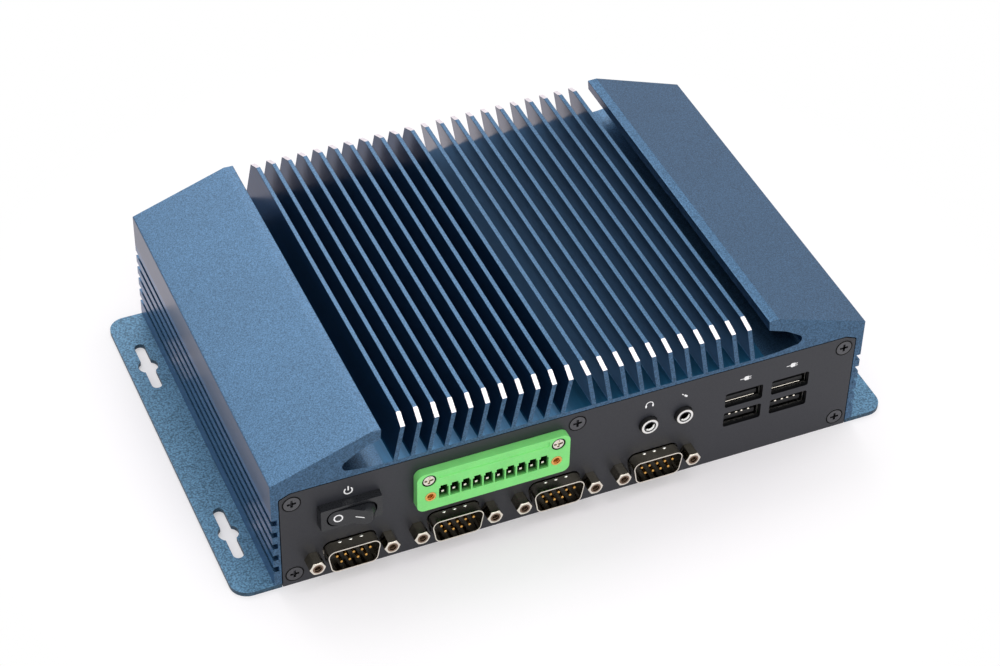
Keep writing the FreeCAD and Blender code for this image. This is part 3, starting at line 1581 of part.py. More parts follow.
def make_lan_ports():
    """Two shielded network sockets with keyed mouths."""
    mouth = BACK - d.socket_setback
    for index in (0, 1):
        x = d.lan_first + index * d.lan_pitch
        body = new_body(f"lan_port_{index + 1}")
        bar_along_y(body, f"lan_collar_{index}",
                    rectangle(x, d.lan_width - 2 * d.lan_collar_inset,
                              d.board_top + d.lan_collar_rise,
                              d.lan_height - 2 * d.lan_collar_rise),
                    REAR_PANEL_INSIDE, mouth)
        bar_along_y(body, f"lan_case_{index}",
                    rectangle(x, d.lan_width, d.board_top, d.lan_height),
                    REAR_PANEL_INSIDE - d.lan_depth, REAR_PANEL_INSIDE)
        half = float(d.lan_mouth_width) / 2
        key = float(d.lan_key_width) / 2
        low = float(d.board_top + d.lan_mouth_rise)
        top = low + float(d.lan_mouth_height)
        step = top - float(d.lan_key_height)
        centre = float(x)
        slot_along_y(body, f"lan_mouth_{index}", [
            (centre - half, low), (centre + half, low), (centre + half, step),
            (centre + key, step), (centre + key, top), (centre - key, top),
            (centre - key, step), (centre - half, step)], mouth - d.lan_mouth_depth, mouth)


# ---------------------------------------------------------------- build and write

make_housing()
make_bottom_plate()
make_front_panel()
make_rear_panel()
make_screws()
make_serial_ports()
make_jackscrews()
make_switch_frame()
make_rocker()
make_switch_tabs()
make_header()
make_header_hardware()
make_audio_jacks()
for usb_index in (0, 1):
    make_usb_stack(f"usb_{usb_index + 1}", d.usb_first + usb_index * d.usb_pitch, FRONT, -1)
make_usb_stack("rear_usb", d.rear_usb_x, BACK, 1)
make_io_board()
make_main_board()
make_board_hardware()
make_processor()
make_memory()
make_coin_cell()
make_drive()
make_chokes()
make_dc_inlet()
make_display_ports()
make_lan_ports()
doc.recompute()

for item in doc.Objects:
    if "Invalid" in item.State or "Error" in item.State:
        raise RuntimeError(f"{item.Label} did not build: {item.State}")
for item in exported:
    if item.Shape.isNull() or not item.Shape.isValid():
        raise RuntimeError(f"{item.Label} has no valid shape")

os.makedirs("parts", exist_ok=True)
for item in exported:
    item.Shape.exportStep(f"parts/{item.Label}.step")
print(f"{len(exported)} sub-parts written")
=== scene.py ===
import json
import math

import bmesh
import bpy
from mathutils import Matrix, Vector


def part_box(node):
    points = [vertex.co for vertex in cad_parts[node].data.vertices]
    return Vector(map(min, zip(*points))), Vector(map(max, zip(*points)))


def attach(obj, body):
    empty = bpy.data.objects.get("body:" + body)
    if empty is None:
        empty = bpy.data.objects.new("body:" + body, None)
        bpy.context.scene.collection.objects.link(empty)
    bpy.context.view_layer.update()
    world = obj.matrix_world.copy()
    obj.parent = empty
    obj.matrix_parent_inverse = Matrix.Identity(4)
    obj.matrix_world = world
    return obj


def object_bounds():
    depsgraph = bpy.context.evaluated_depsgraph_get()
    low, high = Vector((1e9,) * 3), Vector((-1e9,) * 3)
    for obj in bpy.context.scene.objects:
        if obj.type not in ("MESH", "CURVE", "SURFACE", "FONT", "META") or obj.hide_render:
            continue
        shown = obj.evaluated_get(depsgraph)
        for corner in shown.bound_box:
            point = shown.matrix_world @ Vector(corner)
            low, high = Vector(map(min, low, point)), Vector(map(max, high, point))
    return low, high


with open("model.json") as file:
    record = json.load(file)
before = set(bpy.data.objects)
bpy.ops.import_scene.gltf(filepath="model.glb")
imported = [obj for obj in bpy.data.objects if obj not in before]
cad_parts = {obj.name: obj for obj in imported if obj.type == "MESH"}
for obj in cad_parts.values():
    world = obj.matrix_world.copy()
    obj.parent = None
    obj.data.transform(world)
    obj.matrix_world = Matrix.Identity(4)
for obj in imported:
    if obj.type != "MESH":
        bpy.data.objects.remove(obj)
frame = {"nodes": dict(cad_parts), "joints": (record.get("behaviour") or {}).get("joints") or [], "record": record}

# The look of a fanless industrial computer: materials, printed marks, contacts and
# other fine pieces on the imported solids.  Metres, in the solids' own frame.

MM = 0.001
NODES = frame["nodes"]
CAD_BOX = [list(corner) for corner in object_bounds()]


# ---------------------------------------------------------------- colours and finishes

HOUSING_BLUE = (0.036, 0.104, 0.196)
# painted shade: the darker colour of the upright sides and the fins' sides
SIDE_SHADE_BLUE = (0.007, 0.034, 0.092)
# painted reflection: the blue plate seen in the low side ribs
RIB_REFLECTION_BLUE = (0.024, 0.104, 0.245)
# painted light: a lighter blue on the trough floor between the fins
TROUGH_LIT_BLUE = (0.018, 0.120, 0.240)
MILLED_METAL = (0.86, 0.81, 0.84)
PLATE_BLUE = (0.078, 0.190, 0.305)
PANEL_GREY = (0.0155, 0.0165, 0.0225)
DUST = (0.35, 0.35, 0.36)
NICKEL = (0.86, 0.80, 0.71)
# painted shade on the sides of the nickel shells
NICKEL_SIDE_SHADE = (0.34, 0.31, 0.235)
GOLD = (0.70, 0.38, 0.10)
# the jackscrews' brown metal, also used for painted shade rings at their mouths
BROWN_METAL_AND_SHADE = (0.24, 0.165, 0.12)
BARE_BOARD = (0.012, 0.075, 0.032)
BOARD_OVER_COPPER = (0.020, 0.130, 0.055)

# the blue oxide: its grains, sheen and clear coat; the tint is a painted reflection, giving the grazing
# reflections a pinkish grey
PINK_REFLECTION_TINT = (0.55, 0.50, 0.56)
HOUSING_GRIT, HOUSING_CONTRAST = 0.45, 0.36
PLATE_GRIT, PLATE_CONTRAST = 0.60, 0.46
MATT_ROUGHNESS = (0.40, 0.50)
DRAWN_ROUGHNESS = 0.26
MATT_COAT, DRAWN_COAT = 0.5, 0.42
UPRIGHT_METALLIC, TROUGH_METALLIC = 0.6, 0.45

# where the housing's areas begin and end, by place and by the direction of their faces
HOUSING_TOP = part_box("heatsink_housing")[1].z
MILLED_ABOVE = HOUSING_TOP - 2.7 * MM
MILLED_SLOPE = (0.30, 0.45)
TROUGH_FLOOR = HOUSING_TOP - 15.5 * MM
TROUGH_HALF = 66.0 * MM
SIDE_FROM = 100.0 * MM
RIBS_BELOW = 33.0 * MM
UPRIGHT = 0.9
FLAT = 0.2
FACING = 0.5

# the header's cells and the serial ports' pins
CELLS = (22.6 * MM, 28.6 * MM)
CELL_MARGIN = 1.6 * MM
CELL_DARK = 0.92
CELL_DEPTHS = (0.2 * MM, 2.0 * MM)
PIN_BRIGHT, PIN_DARK = 0.9 * MM, 1.9 * MM


# ---------------------------------------------------------------- material nodes


class Surface:
    """A Principled material, with short calls for the nodes that feed it."""

    def __init__(self, name, **values):
        self.material = bpy.data.materials.new(name)
        self.material.use_nodes = True
        self.nodes = self.material.node_tree.nodes
        self.links = self.material.node_tree.links
        self.shader = self.nodes["Principled BSDF"]
        self.place = self.nodes.new("ShaderNodeTexCoord").outputs["Object"]
        for key, value in values.items():
            self.set(key, value)

    def set(self, key, value):
        """Set a shader input such as base_color to a value or to another node's output."""
        names = {"coat": "Coat Weight", "specular": "Specular IOR Level",
                 "subsurface": "Subsurface Weight"}
        self.feed(self.shader.inputs[names.get(key, key.replace("_", " ").title())], value)

    def feed(self, socket, value):
        """Link a socket to another node's output, or give it a number or a colour."""
        if isinstance(value, bpy.types.NodeSocket):
            self.links.new(value, socket)
        elif isinstance(value, tuple):
            socket.default_value = (*value, 1.0)[:len(socket.default_value)]
        else:
            socket.default_value = value

    def noise(self, size, detail=2.0, stretch=(1, 1, 1)):
        """Noise with lumps of about the given size in millimetres."""
        scaled = self.nodes.new("ShaderNodeMapping")
        scaled.inputs["Scale"].default_value = stretch
        self.links.new(self.place, scaled.inputs["Vector"])
        node = self.nodes.new("ShaderNodeTexNoise")
        node.inputs["Scale"].default_value = 1 / (size * MM)
        node.inputs["Detail"].default_value = detail
        self.links.new(scaled.outputs["Vector"], node.inputs["Vector"])
        return node.outputs["Fac"]

    def between(self, factor, low, high, start=0.3, end=0.7):
        """The factor's range from start to end, spread over low to high."""
        node = self.nodes.new("ShaderNodeMapRange")
        self.links.new(factor, node.inputs["Value"])
        for name, value in (("From Min", start), ("From Max", end),
                            ("To Min", low), ("To Max", high)):
            node.inputs[name].default_value = value
        return node.outputs["Result"]

    def math(self, operation, first, second=0.0):
        node = self.nodes.new("ShaderNodeMath")
        node.operation = operation
        self.feed(node.inputs[0], first)
        self.feed(node.inputs[1], second)
        return node.outputs["Value"]

    def mix(self, factor, first, second):
        """A colour between two colours."""
        node = self.nodes.new("ShaderNodeMix")
        node.data_type = "RGBA"
        self.links.new(factor, node.inputs["Factor"])
        self.feed(node.inputs[6], first)
        self.feed(node.inputs[7], second)
        return node.outputs[2]

    def above(self, value, limit):
        return self.math("GREATER_THAN", value, limit)

    def below(self, value, limit):
        return self.math("LESS_THAN", value, limit)

    def all_of(self, *masks):
        """One where all of the masks are one."""
        area = masks[0]
        for mask in masks[1:]:
            area = self.math("MULTIPLY", area, mask)
        return area

    def mix_value(self, factor, first, second):
        """A number between two numbers."""
        node = self.nodes.new("ShaderNodeMix")
        self.links.new(factor, node.inputs["Factor"])
        self.feed(node.inputs[2], first)
        self.feed(node.inputs[3], second)
        return node.outputs[0]

    def scaled(self, colour, factor):
        """A colour made lighter or darker by a factor."""
        node = self.nodes.new("ShaderNodeVectorMath")
        node.operation = "SCALE"
        self.feed(node.inputs[0], colour)
        self.feed(node.inputs["Scale"], factor)
        return node.outputs["Vector"]

    def bump(self, height, depth, strength=1.0):
        """Relief of the given depth in millimetres."""
        node = self.nodes.new("ShaderNodeBump")
        node.inputs["Distance"].default_value = depth * MM
        node.inputs["Strength"].default_value = strength
        self.links.new(height, node.inputs["Height"])
        self.links.new(node.outputs["Normal"], self.shader.inputs["Normal"])

    def axes(self, output):
        node = self.nodes.new("ShaderNodeSeparateXYZ")
        self.links.new(output, node.inputs["Vector"])
        return node.outputs

    def face_normal(self):
        return self.axes(self.nodes.new("ShaderNodeNewGeometry").outputs["True Normal"])


def tint(colour, amount):
    return tuple(min(1.0, part * amount) for part in colour)


def speckle(surface, colour, grit, contrast):
    """The colour in grains of a size in millimetres, from dark ones to greyish light ones."""
    grain = surface.noise(grit, detail=2.0)
    cloud = surface.noise(30.0)
    dark = tint(colour, 1 - contrast)
    light = tuple(value * (1 + contrast) + 0.05 * contrast for value in colour)
    grains = surface.mix(surface.between(grain, 0.0, 1.0, 0.34, 0.66), dark, light)
    surface.bump(grain, 0.010, 0.35)
    return surface.scaled(grains, surface.between(cloud, 0.97, 1.04, 0.35, 0.65))


def housing_material():
    """Blasted blue oxide with painted shade, reflection and light by the faces' direction; drawn metal on the
    upright sides; bare metal where milled.
    """
    surface = Surface("blue_anodised", coat_roughness=0.28, specular_tint=PINK_REFLECTION_TINT)
    x, y, z = surface.axes(surface.place)
    normal = surface.face_normal()
    slope = surface.math("ABSOLUTE", normal["Y"])
    across = surface.math("ABSOLUTE", normal["X"])
    from_middle = surface.math("ABSOLUTE", x)

    # the fins' ends were milled to a slope after the extrusion was coloured
    milled = surface.all_of(surface.above(slope, MILLED_SLOPE[0]),
                            surface.below(slope, MILLED_SLOPE[1]),
                            surface.above(z, MILLED_ABOVE))
    upright = surface.above(across, UPRIGHT)
    ribs = surface.all_of(upright, surface.above(from_middle, SIDE_FROM),
                          surface.below(z, RIBS_BELOW))
    trough = surface.all_of(surface.below(from_middle, TROUGH_HALF),
                            surface.above(z, TROUGH_FLOOR - MM),
                            surface.below(z, TROUGH_FLOOR + MM),
                            surface.below(slope, FLAT))

    drawn = surface.noise(1.2, detail=2.0, stretch=(1, 0.03, 1))
    streaks = surface.between(drawn, 0.85, 1.15)
    cut_marks = surface.between(surface.noise(0.8, stretch=(1, 0.1, 1)), 0.93, 1.05)
    colour = speckle(surface, HOUSING_BLUE, HOUSING_GRIT, HOUSING_CONTRAST)
    # painted shade darkens the upright sides, a painted reflection of the blue plate tints the low ribs, and
    # painted light brightens the trough floor between the fins
    for area, blue, marks in ((upright, SIDE_SHADE_BLUE, streaks), (ribs, RIB_REFLECTION_BLUE, streaks),
                              (trough, TROUGH_LIT_BLUE, streaks),
                              (milled, MILLED_METAL, cut_marks)):
        colour = surface.mix(area, colour, surface.scaled(blue, marks))
    surface.set("base_color", colour)
    metallic = surface.mix_value(upright, 1.0, UPRIGHT_METALLIC)
    surface.set("metallic", surface.mix_value(trough, metallic, TROUGH_METALLIC))
    drawn_area = surface.math("MAXIMUM", upright, trough)
    matt = surface.between(surface.noise(0.25), *MATT_ROUGHNESS)
    surface.set("roughness", surface.mix_value(drawn_area, matt, DRAWN_ROUGHNESS))
    coat = surface.mix_value(drawn_area, MATT_COAT, DRAWN_COAT)
    surface.set("coat", surface.mix_value(milled, coat, 0.0))
    return surface.material


def plate_material():
    """Coarser blasting on the plate, which scatters the light more; its cut edges painted dark as shade."""
    surface = Surface("blue_plate", metallic=0.35, specular=0.4)
    grains = speckle(surface, PLATE_BLUE, PLATE_GRIT, PLATE_CONTRAST)
    # painted shade: faces that do not face up or down get about a third of the colour
    level = surface.above(surface.math("ABSOLUTE", surface.face_normal()["Z"]), FACING)
    surface.set("base_color", surface.mix(level, surface.scaled(grains, 0.35), grains))
    surface.set("roughness", surface.between(surface.noise(0.3), 0.44, 0.56))
    return surface.material


def coated_steel():
    """Semi-matte charcoal coating with a faint orange peel and dust specks; its edges painted dark as shade."""
    surface = Surface("charcoal_coat")
    peel = surface.noise(0.45, detail=3.0)
    cloud = surface.noise(40.0)
    speck = surface.nodes.new("ShaderNodeTexVoronoi")
    speck.inputs["Scale"].default_value = 1 / (16 * MM)
    surface.links.new(surface.place, speck.inputs["Vector"])
    near = surface.below(speck.outputs["Distance"], 0.010)
    coat = surface.mix(surface.between(cloud, 0.0, 1.0), tint(PANEL_GREY, 0.9),
                       tint(PANEL_GREY, 1.12))
    coat = surface.mix(near, coat, DUST)
    # painted shade: the edges and the cut-outs' walls, all faces not facing front or back, get a fifth of the
    # colour and less specular
    face = surface.above(surface.math("ABSOLUTE", surface.face_normal()["Y"]), FACING)
    surface.set("base_color", surface.mix(face, surface.scaled(coat, 0.2), coat))
    surface.set("specular", surface.mix_value(face, 0.15, 0.5))
    surface.set("roughness", surface.between(peel, 0.42, 0.54))
    surface.bump(peel, 0.006, 0.5)
    return surface.material


def metal(name, colour, roughness, streaks=(1, 1, 1), size=0.6, relief=0.002,
          side=None, shade=None):
    """Plated, turned or drawn metal, with streaks along the given axis.

    A side colour goes on all but the faces at the front and the back, as painted shade
    for how the light falls on them.  A shade is a function that gives the light's share at each place.
    """
    surface = Surface(name, metallic=1.0)
    fine = surface.noise(size, detail=3.0, stretch=streaks)
    stain = surface.noise(5.0)
    base = surface.mix(surface.between(fine, 0.0, 1.0), tint(colour, 0.92),
                       tint(colour, 1.06))
    # painted shade: the side colour on faces that do not face front or back
    if side:
        facing = surface.math("ABSOLUTE", surface.face_normal()["Y"])
        base = surface.mix(surface.between(facing, 0.0, 1.0, 0.60, 0.80), side, base)
    if shade:
        base = surface.scaled(base, shade(surface))
    stained = tint(colour, 0.3 if shade else 0.8)
    surface.set("base_color", surface.mix(surface.between(stain, 0.0, 0.35), base, stained))
    surface.set("roughness", surface.between(fine, roughness * 0.8, roughness * 1.25))
    surface.bump(fine, relief, 0.5)
    return surface.material


def plastic(name, colour, roughness, size=0.5, relief=0.006, specular=0.5, subsurface=0.0,
            shade=None):
    """Moulded plastic with a fine spark-eroded texture."""
    surface = Surface(name, specular=specular, subsurface=subsurface)
    if subsurface:
        surface.shader.inputs["Subsurface Scale"].default_value = 0.6 * MM
    fine = surface.noise(size, detail=3.0)
    flow = surface.noise(9.0)
    base = surface.mix(surface.between(flow, 0.0, 1.0), tint(colour, 0.93),
                       tint(colour, 1.06))
    base = surface.mix(surface.between(fine, 0.0, 0.4), base, tint(colour, 1.15))
    surface.set("base_color", surface.scaled(base, shade(surface) if shade else 1.0))
    surface.set("roughness", surface.between(fine, roughness * 0.85, roughness * 1.15))
    surface.bump(fine, relief, 0.5)
    return surface.material


def cell_shade(surface):
    """Darker with depth inside the terminal header's cells."""
    x, y, z = surface.axes(surface.place)
    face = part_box("terminal_header")[0].y
    low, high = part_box("terminal_pins")
    sideways = surface.math("ABSOLUTE", surface.math("SUBTRACT", x, (low.x + high.x) / 2))
    inside = surface.all_of(surface.below(sideways, (high.x - low.x) / 2 + CELL_MARGIN),
                            surface.above(z, CELLS[0]), surface.below(z, CELLS[1]))
    depth = surface.between(y, 0.0, CELL_DARK, face + CELL_DEPTHS[0], face + CELL_DEPTHS[1])
    return surface.math("SUBTRACT", 1.0, surface.math("MULTIPLY", inside, depth))


def pin_shade(surface):
    """Bright at the tips of the serial ports' pins, dark down in the shells."""
    tip = -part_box("com_pins")[0].y
    y = surface.math("ABSOLUTE", surface.axes(surface.place)["Y"])
    return surface.between(y, 0.08, 1.0, tip - PIN_DARK, tip - PIN_BRIGHT)


def circuit_board():
    """Solder mask over copper: darker where there is no copper beneath."""
    surface = Surface("circuit_board", specular=0.5)
    cells = surface.nodes.new("ShaderNodeTexVoronoi")
    cells.distance = "CHEBYCHEV"
    cells.inputs["Scale"].default_value = 1 / (6 * MM)
    surface.links.new(surface.place, cells.inputs["Vector"])
    lines = surface.between(cells.outputs["Distance"], 0.0, 1.0, 0.2, 0.5)
    surface.set("base_color", surface.mix(lines, BARE_BOARD, BOARD_OVER_COPPER))
    surface.set("roughness", surface.between(surface.noise(1.0), 0.3, 0.45))
    surface.bump(lines, 0.03, 0.5)
    return surface.material



MATERIALS = {
    "blue_anodised": housing_material(),
    "blue_plate": plate_material(),
    "charcoal_coat": coated_steel(),
    "black_steel": metal("black_steel", (0.110, 0.110, 0.118), 0.26),
    # the side colours of the nickel and the dull steel are painted shade
    "nickel": metal("nickel", NICKEL, 0.14, streaks=(1, 0.2, 1), side=NICKEL_SIDE_SHADE),
    "dull_steel": metal("dull_steel", (0.42, 0.41, 0.39), 0.30, streaks=(1, 0.1, 1),
                        side=(0.07, 0.07, 0.07)),
    "gold_contact": metal("gold_contact", GOLD, 0.26, shade=pin_shade),
    "brown_metal_and_shade": metal("brown_metal_and_shade", BROWN_METAL_AND_SHADE, 0.22),
    "chrome": metal("chrome", (0.92, 0.92, 0.90), 0.12),
    "brass_insert": metal("brass_insert", (0.88, 0.46, 0.14), 0.24),
    "black_plastic": plastic("black_plastic", (0.012, 0.012, 0.013), 0.46),
    "switch_plastic": plastic("switch_plastic", (0.012, 0.013, 0.016), 0.30, relief=0.003),
    # near-black for rings that stand in for shadow
    "painted_shadow_black": plastic("painted_shadow_black", (0.003, 0.003, 0.003), 0.6, specular=0.1),
    "green_plastic": plastic("green_plastic", (0.210, 0.720, 0.195), 0.40,
                             subsurface=0.10, shade=cell_shade),
    "circuit_board": circuit_board(),
    "bare_aluminium": metal("bare_aluminium", (0.80, 0.80, 0.81), 0.35,
                            streaks=(0.05, 1, 1)),
    "grey_pad": plastic("grey_pad", (0.42, 0.42, 0.44), 0.8, size=0.8, relief=0.03),
    "bright_spot": metal("bright_spot", (0.85, 0.84, 0.80), 0.18),
    "white_print": plastic("white_print", (0.88, 0.88, 0.88), 0.6, size=0.25),
}


# ---------------------------------------------------------------- edges of the solids

CREASE = math.radians(38)
ROUNDED_ABOVE = math.radians(32)
FLAT_WITHIN = math.radians(0.2)
JOINED_WITHIN = 0.001 * MM
THIN_EDGE = 0.08


def smoothing_group():
    """Geometry nodes that shade a mesh smooth, with creases at its sharp edges."""
    group = bpy.data.node_groups.new("smooth_by_angle", "GeometryNodeTree")
    for direction in ("INPUT", "OUTPUT"):
        group.interface.new_socket("Geometry", in_out=direction,
                                   socket_type="NodeSocketGeometry")
    start = group.nodes.new("NodeGroupInput")
    end = group.nodes.new("NodeGroupOutput")
    angle = group.nodes.new("GeometryNodeInputMeshEdgeAngle")
    sharp = group.nodes.new("FunctionNodeCompare")
    sharp.operation = "GREATER_THAN"
    sharp.inputs[1].default_value = CREASE
    shade = group.nodes.new("GeometryNodeSetMeshNormal")
    shade.mode = "SHARPNESS"
    group.links.new(start.outputs[0], shade.inputs["Mesh"])
    group.links.new(angle.outputs["Unsigned Angle"], sharp.inputs[0])
    group.links.new(sharp.outputs["Result"], shade.inputs["Edge Sharpness"])
    group.links.new(shade.outputs[0], end.inputs[0])
    return group


SMOOTHING = smoothing_group()


def shade_smooth(piece):
    piece.modifiers.new("smooth", "NODES").node_group = SMOOTHING


def soften_edges(piece, width, segments=2):
    """Round a solid's edges by a width in millimetres, so that they catch the light."""
    weld = piece.modifiers.new("weld", "WELD")
    weld.merge_threshold = JOINED_WITHIN
    flat = piece.modifiers.new("flat", "DECIMATE")
    flat.decimate_type = "DISSOLVE"
    flat.angle_limit = FLAT_WITHIN
    edges = piece.modifiers.new("edges", "BEVEL")
    edges.width = width * MM
    edges.segments = segments
    edges.limit_method = "ANGLE"
    edges.angle_limit = ROUNDED_ABOVE
    shade_smooth(piece)
    flats = piece.modifiers.new("flats", "WEIGHTED_NORMAL")
    flats.mode = "FACE_AREA"
    flats.weight = 100
    flats.keep_sharp = True


EDGE_WIDTHS = {
    "heatsink_housing": 0.14, "bottom_plate": 0.18, "front_panel": 0.10,
    "rear_panel": 0.10, "switch_frame": 0.25, "switch_rocker": 0.18,
    "terminal_header": 0.20, "com_pins": 0.28, "jackscrews": 0.10,
    "dc_inlet": 0.2, "dc_inlet_nut": 0.3, "terminal_pins": 0.2,
    "front_panel_screws": 0.13, "rear_panel_screws": 0.13, "terminal_screws": 0.12,
}


def dress_solids():
    """Give every solid its material and softened edges."""
    for entry in frame["record"]["subparts"]:
        node = NODES[entry["node"]]
        node.data.materials.clear()
        node.data.materials.append(MATERIALS[entry["material_slot"]])
        soften_edges(node, EDGE_WIDTHS.get(entry["node"], THIN_EDGE),
                     segments=3 if entry["node"] == "com_pins" else 2)


# ---------------------------------------------------------------- building pieces


def add_piece(name, build, material, body="chassis"):
    """A piece made with bmesh code, riding on a body of the frame."""
    mesh = bpy.data.meshes.new(name)
    work = bmesh.new()
    build(work)
    bmesh.ops.recalc_face_normals(work, faces=work.faces[:])
    work.to_mesh(mesh)
    work.free()
    piece = bpy.data.objects.new(name, mesh)
    bpy.context.scene.collection.objects.link(piece)
    mesh.materials.append(MATERIALS[material])
    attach(piece, body)
    return piece


def prism(work, outline, place, depth, holes=()):
    """A flat shape in (across, up) millimetres, raised by depth out of its place."""
    def ring(points, level):
        return [work.verts.new(place @ Vector((u * MM, v * MM, level * MM)))
                for u, v in points]

    low = ring(outline, 0.0)
    high = ring(outline, depth)
    count = len(outline)
    if not holes:
        work.faces.new(low)
        work.faces.new(high)
    for index in range(count):
        following = (index + 1) % count
        work.faces.new((low[index], low[following], high[following], high[index]))
    for hole in holes:
        inner_low = ring(hole, 0.0)
        inner_high = ring(hole, depth)
        for index in range(count):
            following = (index + 1) % count
            work.faces.new((inner_low[index], inner_low[following],
                            inner_high[following], inner_high[index]))
            work.faces.new((low[index], low[following],
                            inner_low[following], inner_low[index]))
            work.faces.new((high[index], high[following],
                            inner_high[following], inner_high[index]))


def arc(x, y, radius, start, end, steps=24):
    """Points round a centre, with the angles in degrees."""
    points = []
    for index in range(steps + 1):
        angle = math.radians(start + (end - start) * index / steps)
        points.append((x + radius * math.cos(angle), y + radius * math.sin(angle)))
    return points


def band(x, y, radius, width, start, end):
    """The outline of a curved stroke."""
    outer = arc(x, y, radius + width / 2, start, end)
    inner = arc(x, y, radius - width / 2, end, start)
    return outer + inner


def bar(x, y, length, width, angle=0.0):
    """The outline of a straight stroke about its middle, with rounded ends."""
    turn = math.radians(angle)
    cap = min(length, width) / 2
    half = length / 2 - cap
    points = arc(half, 0, cap, -90, 90, 8) + arc(-half, 0, cap, 90, 270, 8)
    return [(x + u * math.cos(turn) - v * math.sin(turn),
             y + u * math.sin(turn) + v * math.cos(turn)) for u, v in points]


def on_front(x, z):
    """A place on the front panel, with its third axis pointing out of the panel."""
    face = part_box("front_panel")[0].y
    return Matrix(((1, 0, 0, x), (0, 0, -1, face), (0, 1, 0, z), (0, 0, 0, 1)))


def centre_of(node):
    low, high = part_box(node)
    return (low + high) / 2


# ---------------------------------------------------------------- printed marks

# in millimetres; the drops are from the panel's top edge to the marks' middles
INK = 0.02
STROKE = 0.45
THIN_STROKE = 0.32
LEAD = 0.26
MARK_DROP = 5.5
PLUG_DROP = 5.7

# the rocker's face: its turn at rest, and the shallow V between its two tips
ROCKER_TURN = math.radians(18.5)
ROCKER_DISH = math.radians(12.0)
ROCKER_TIP = math.radians(31.0)
ROCKER_RADIUS = 8.0
OFF_MARK_AT, ON_MARK_AT = -3.75, 3.0


def power_mark(work, place):
    prism(work, band(0, 0, 1.32, STROKE, 130, 410), place, INK)
    prism(work, bar(0, 1.00, 1.9, STROKE, 90), place, INK)


def headphone_mark(work, place):
    prism(work, band(0, 0.1, 1.25, THIN_STROKE, 5, 175), place, INK)
    for side in (-1, 1):
        prism(work, bar(side * 1.22, -0.35, 1.15, 0.60, 90), place, INK)


def microphone_mark(work, place):
    prism(work, bar(0.42, -0.40, 1.45, 0.70, -40), place, INK)
    prism(work, bar(-0.72, 0.52, 0.90, THIN_STROKE, -40), place, INK)


def plug_mark(work, place):
    """A plain plug: two blades, a body and its cable."""
    for side in (-1, 1):
        prism(work, bar(1.55, side * 0.40, 0.9, LEAD), place, INK)
    prism(work, [(0.2, -0.8), (1.1, -0.8), (1.1, 0.8), (0.2, 0.8)], place, INK)
    prism(work, band(0.2, 0, 0.45, 0.9, 90, 270), place, INK)
    prism(work, bar(-1.3, 0, 1.6, LEAD), place, INK)


def print_marks():
    """The printed marks, each above the middle of what it stands for."""
    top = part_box("front_panel")[1].z
    marks = (
        ("power_mark", power_mark, "switch_frame", MARK_DROP),
        ("headphone_mark", headphone_mark, "audio_jack_1", MARK_DROP),
        ("microphone_mark", microphone_mark, "audio_jack_2", MARK_DROP),
        ("plug_mark_1", plug_mark, "usb_1_shell", PLUG_DROP),
        ("plug_mark_2", plug_mark, "usb_2_shell", PLUG_DROP),
    )
    for name, draw, subject, drop in marks:
        place = on_front(centre_of(subject).x, top - drop * MM)
        add_piece(name, lambda work: draw(work, place), "white_print")


def rocker_place(along):
    """A place on the rocker's face, at a distance along it from the pivot's axis."""
    pivot = Vector(frame["joints"][0]["pos_m"])
    rise = math.tan(ROCKER_DISH)
    valley = ROCKER_RADIUS * (math.sin(ROCKER_TIP) - math.cos(ROCKER_TIP) * rise)
    out = valley + abs(along) * rise
    slope = ROCKER_TURN + math.copysign(ROCKER_DISH, along)
    # the face's own axes: across it, up, and out of it
    across = Vector((math.cos(slope), -math.sin(slope), 0))
    up = Vector((0, 0, 1))
    outward = Vector((-math.sin(slope), -math.cos(slope), 0))
    x = along * math.cos(ROCKER_TURN) - out * math.sin(ROCKER_TURN)
    y = -(along * math.sin(ROCKER_TURN) + out * math.cos(ROCKER_TURN))
    origin = pivot + Vector((x, y, 0)) * MM
    columns = [across, up, outward]
    rows = [[column[index] for column in columns] + [origin[index]] for index in range(3)]
    return Matrix(rows + [[0, 0, 0, 1]])


def rocker_marks():
    """A ring for off and a stroke for on, which turn with the rocker."""
    def ring(work):
        place = rocker_place(OFF_MARK_AT)
        prism(work, arc(0, 0, 1.55, 0, 345, 23), place, INK,
              holes=[arc(0, 0, 1.10, 0, 345, 23)])

    def stroke(work):
        prism(work, bar(0, 0, 2.9, 0.38), rocker_place(ON_MARK_AT), INK)

    add_piece("off_mark", ring, "white_print", body="rocker")
    add_piece("on_mark", stroke, "white_print", body="rocker")


# ---------------------------------------------------------------- contacts and small metal

# the serial ports' shells: where the dimples are, and how large
SHELL_RISE = 4.65 * MM
DIMPLE_AHEAD = 0.95 * MM
DIMPLE_PITCH = 3.6 * MM
DIMPLE_SIZE = (1.35, 1.0, 0.7)

# screw heads, jacks and threads: radii in millimetres
SCREW_HEAD = 3.05
# the width of the painted shadow ring round each panel screw
SHADOW_RING_WIDTH = 0.36
PROUD = 0.02 * MM
JACK_RING = (2.15, 2.80)
JACK_GAP = (1.72, 2.15)
JACK_PLATING = (1.70, 1.79)
JACKSCREW_REACH = 12.5 * MM
JACKSCREW_MOUTH_SHADE = (1.24, 1.78)
JACKSCREW_THREAD = (1.22, 0.12)
JACKSCREW_TURNS, JACKSCREW_PITCH = 5, 0.7 * MM
INSERT_THREAD = (1.19, 0.14)
INSERT_TURNS, INSERT_PITCH = 6, 0.6 * MM

# sockets: the tongue and the sheet of a USB socket, and the wires of a network socket
TONGUE = 1.7 * MM
SHEET = 0.35 * MM
USB_CONTACTS = (-3.5 * MM, -1.0 * MM, 1.0 * MM, 3.5 * MM)
LAN_WIRES, LAN_PITCH, LAN_WIRE = 8, 1.02 * MM, 0.4
LAN_BEND = [(-9.5, 2.2), (-9.0, 2.2), (-4.6, 5.6), (-4.9, 5.9), (-9.5, 2.6)]


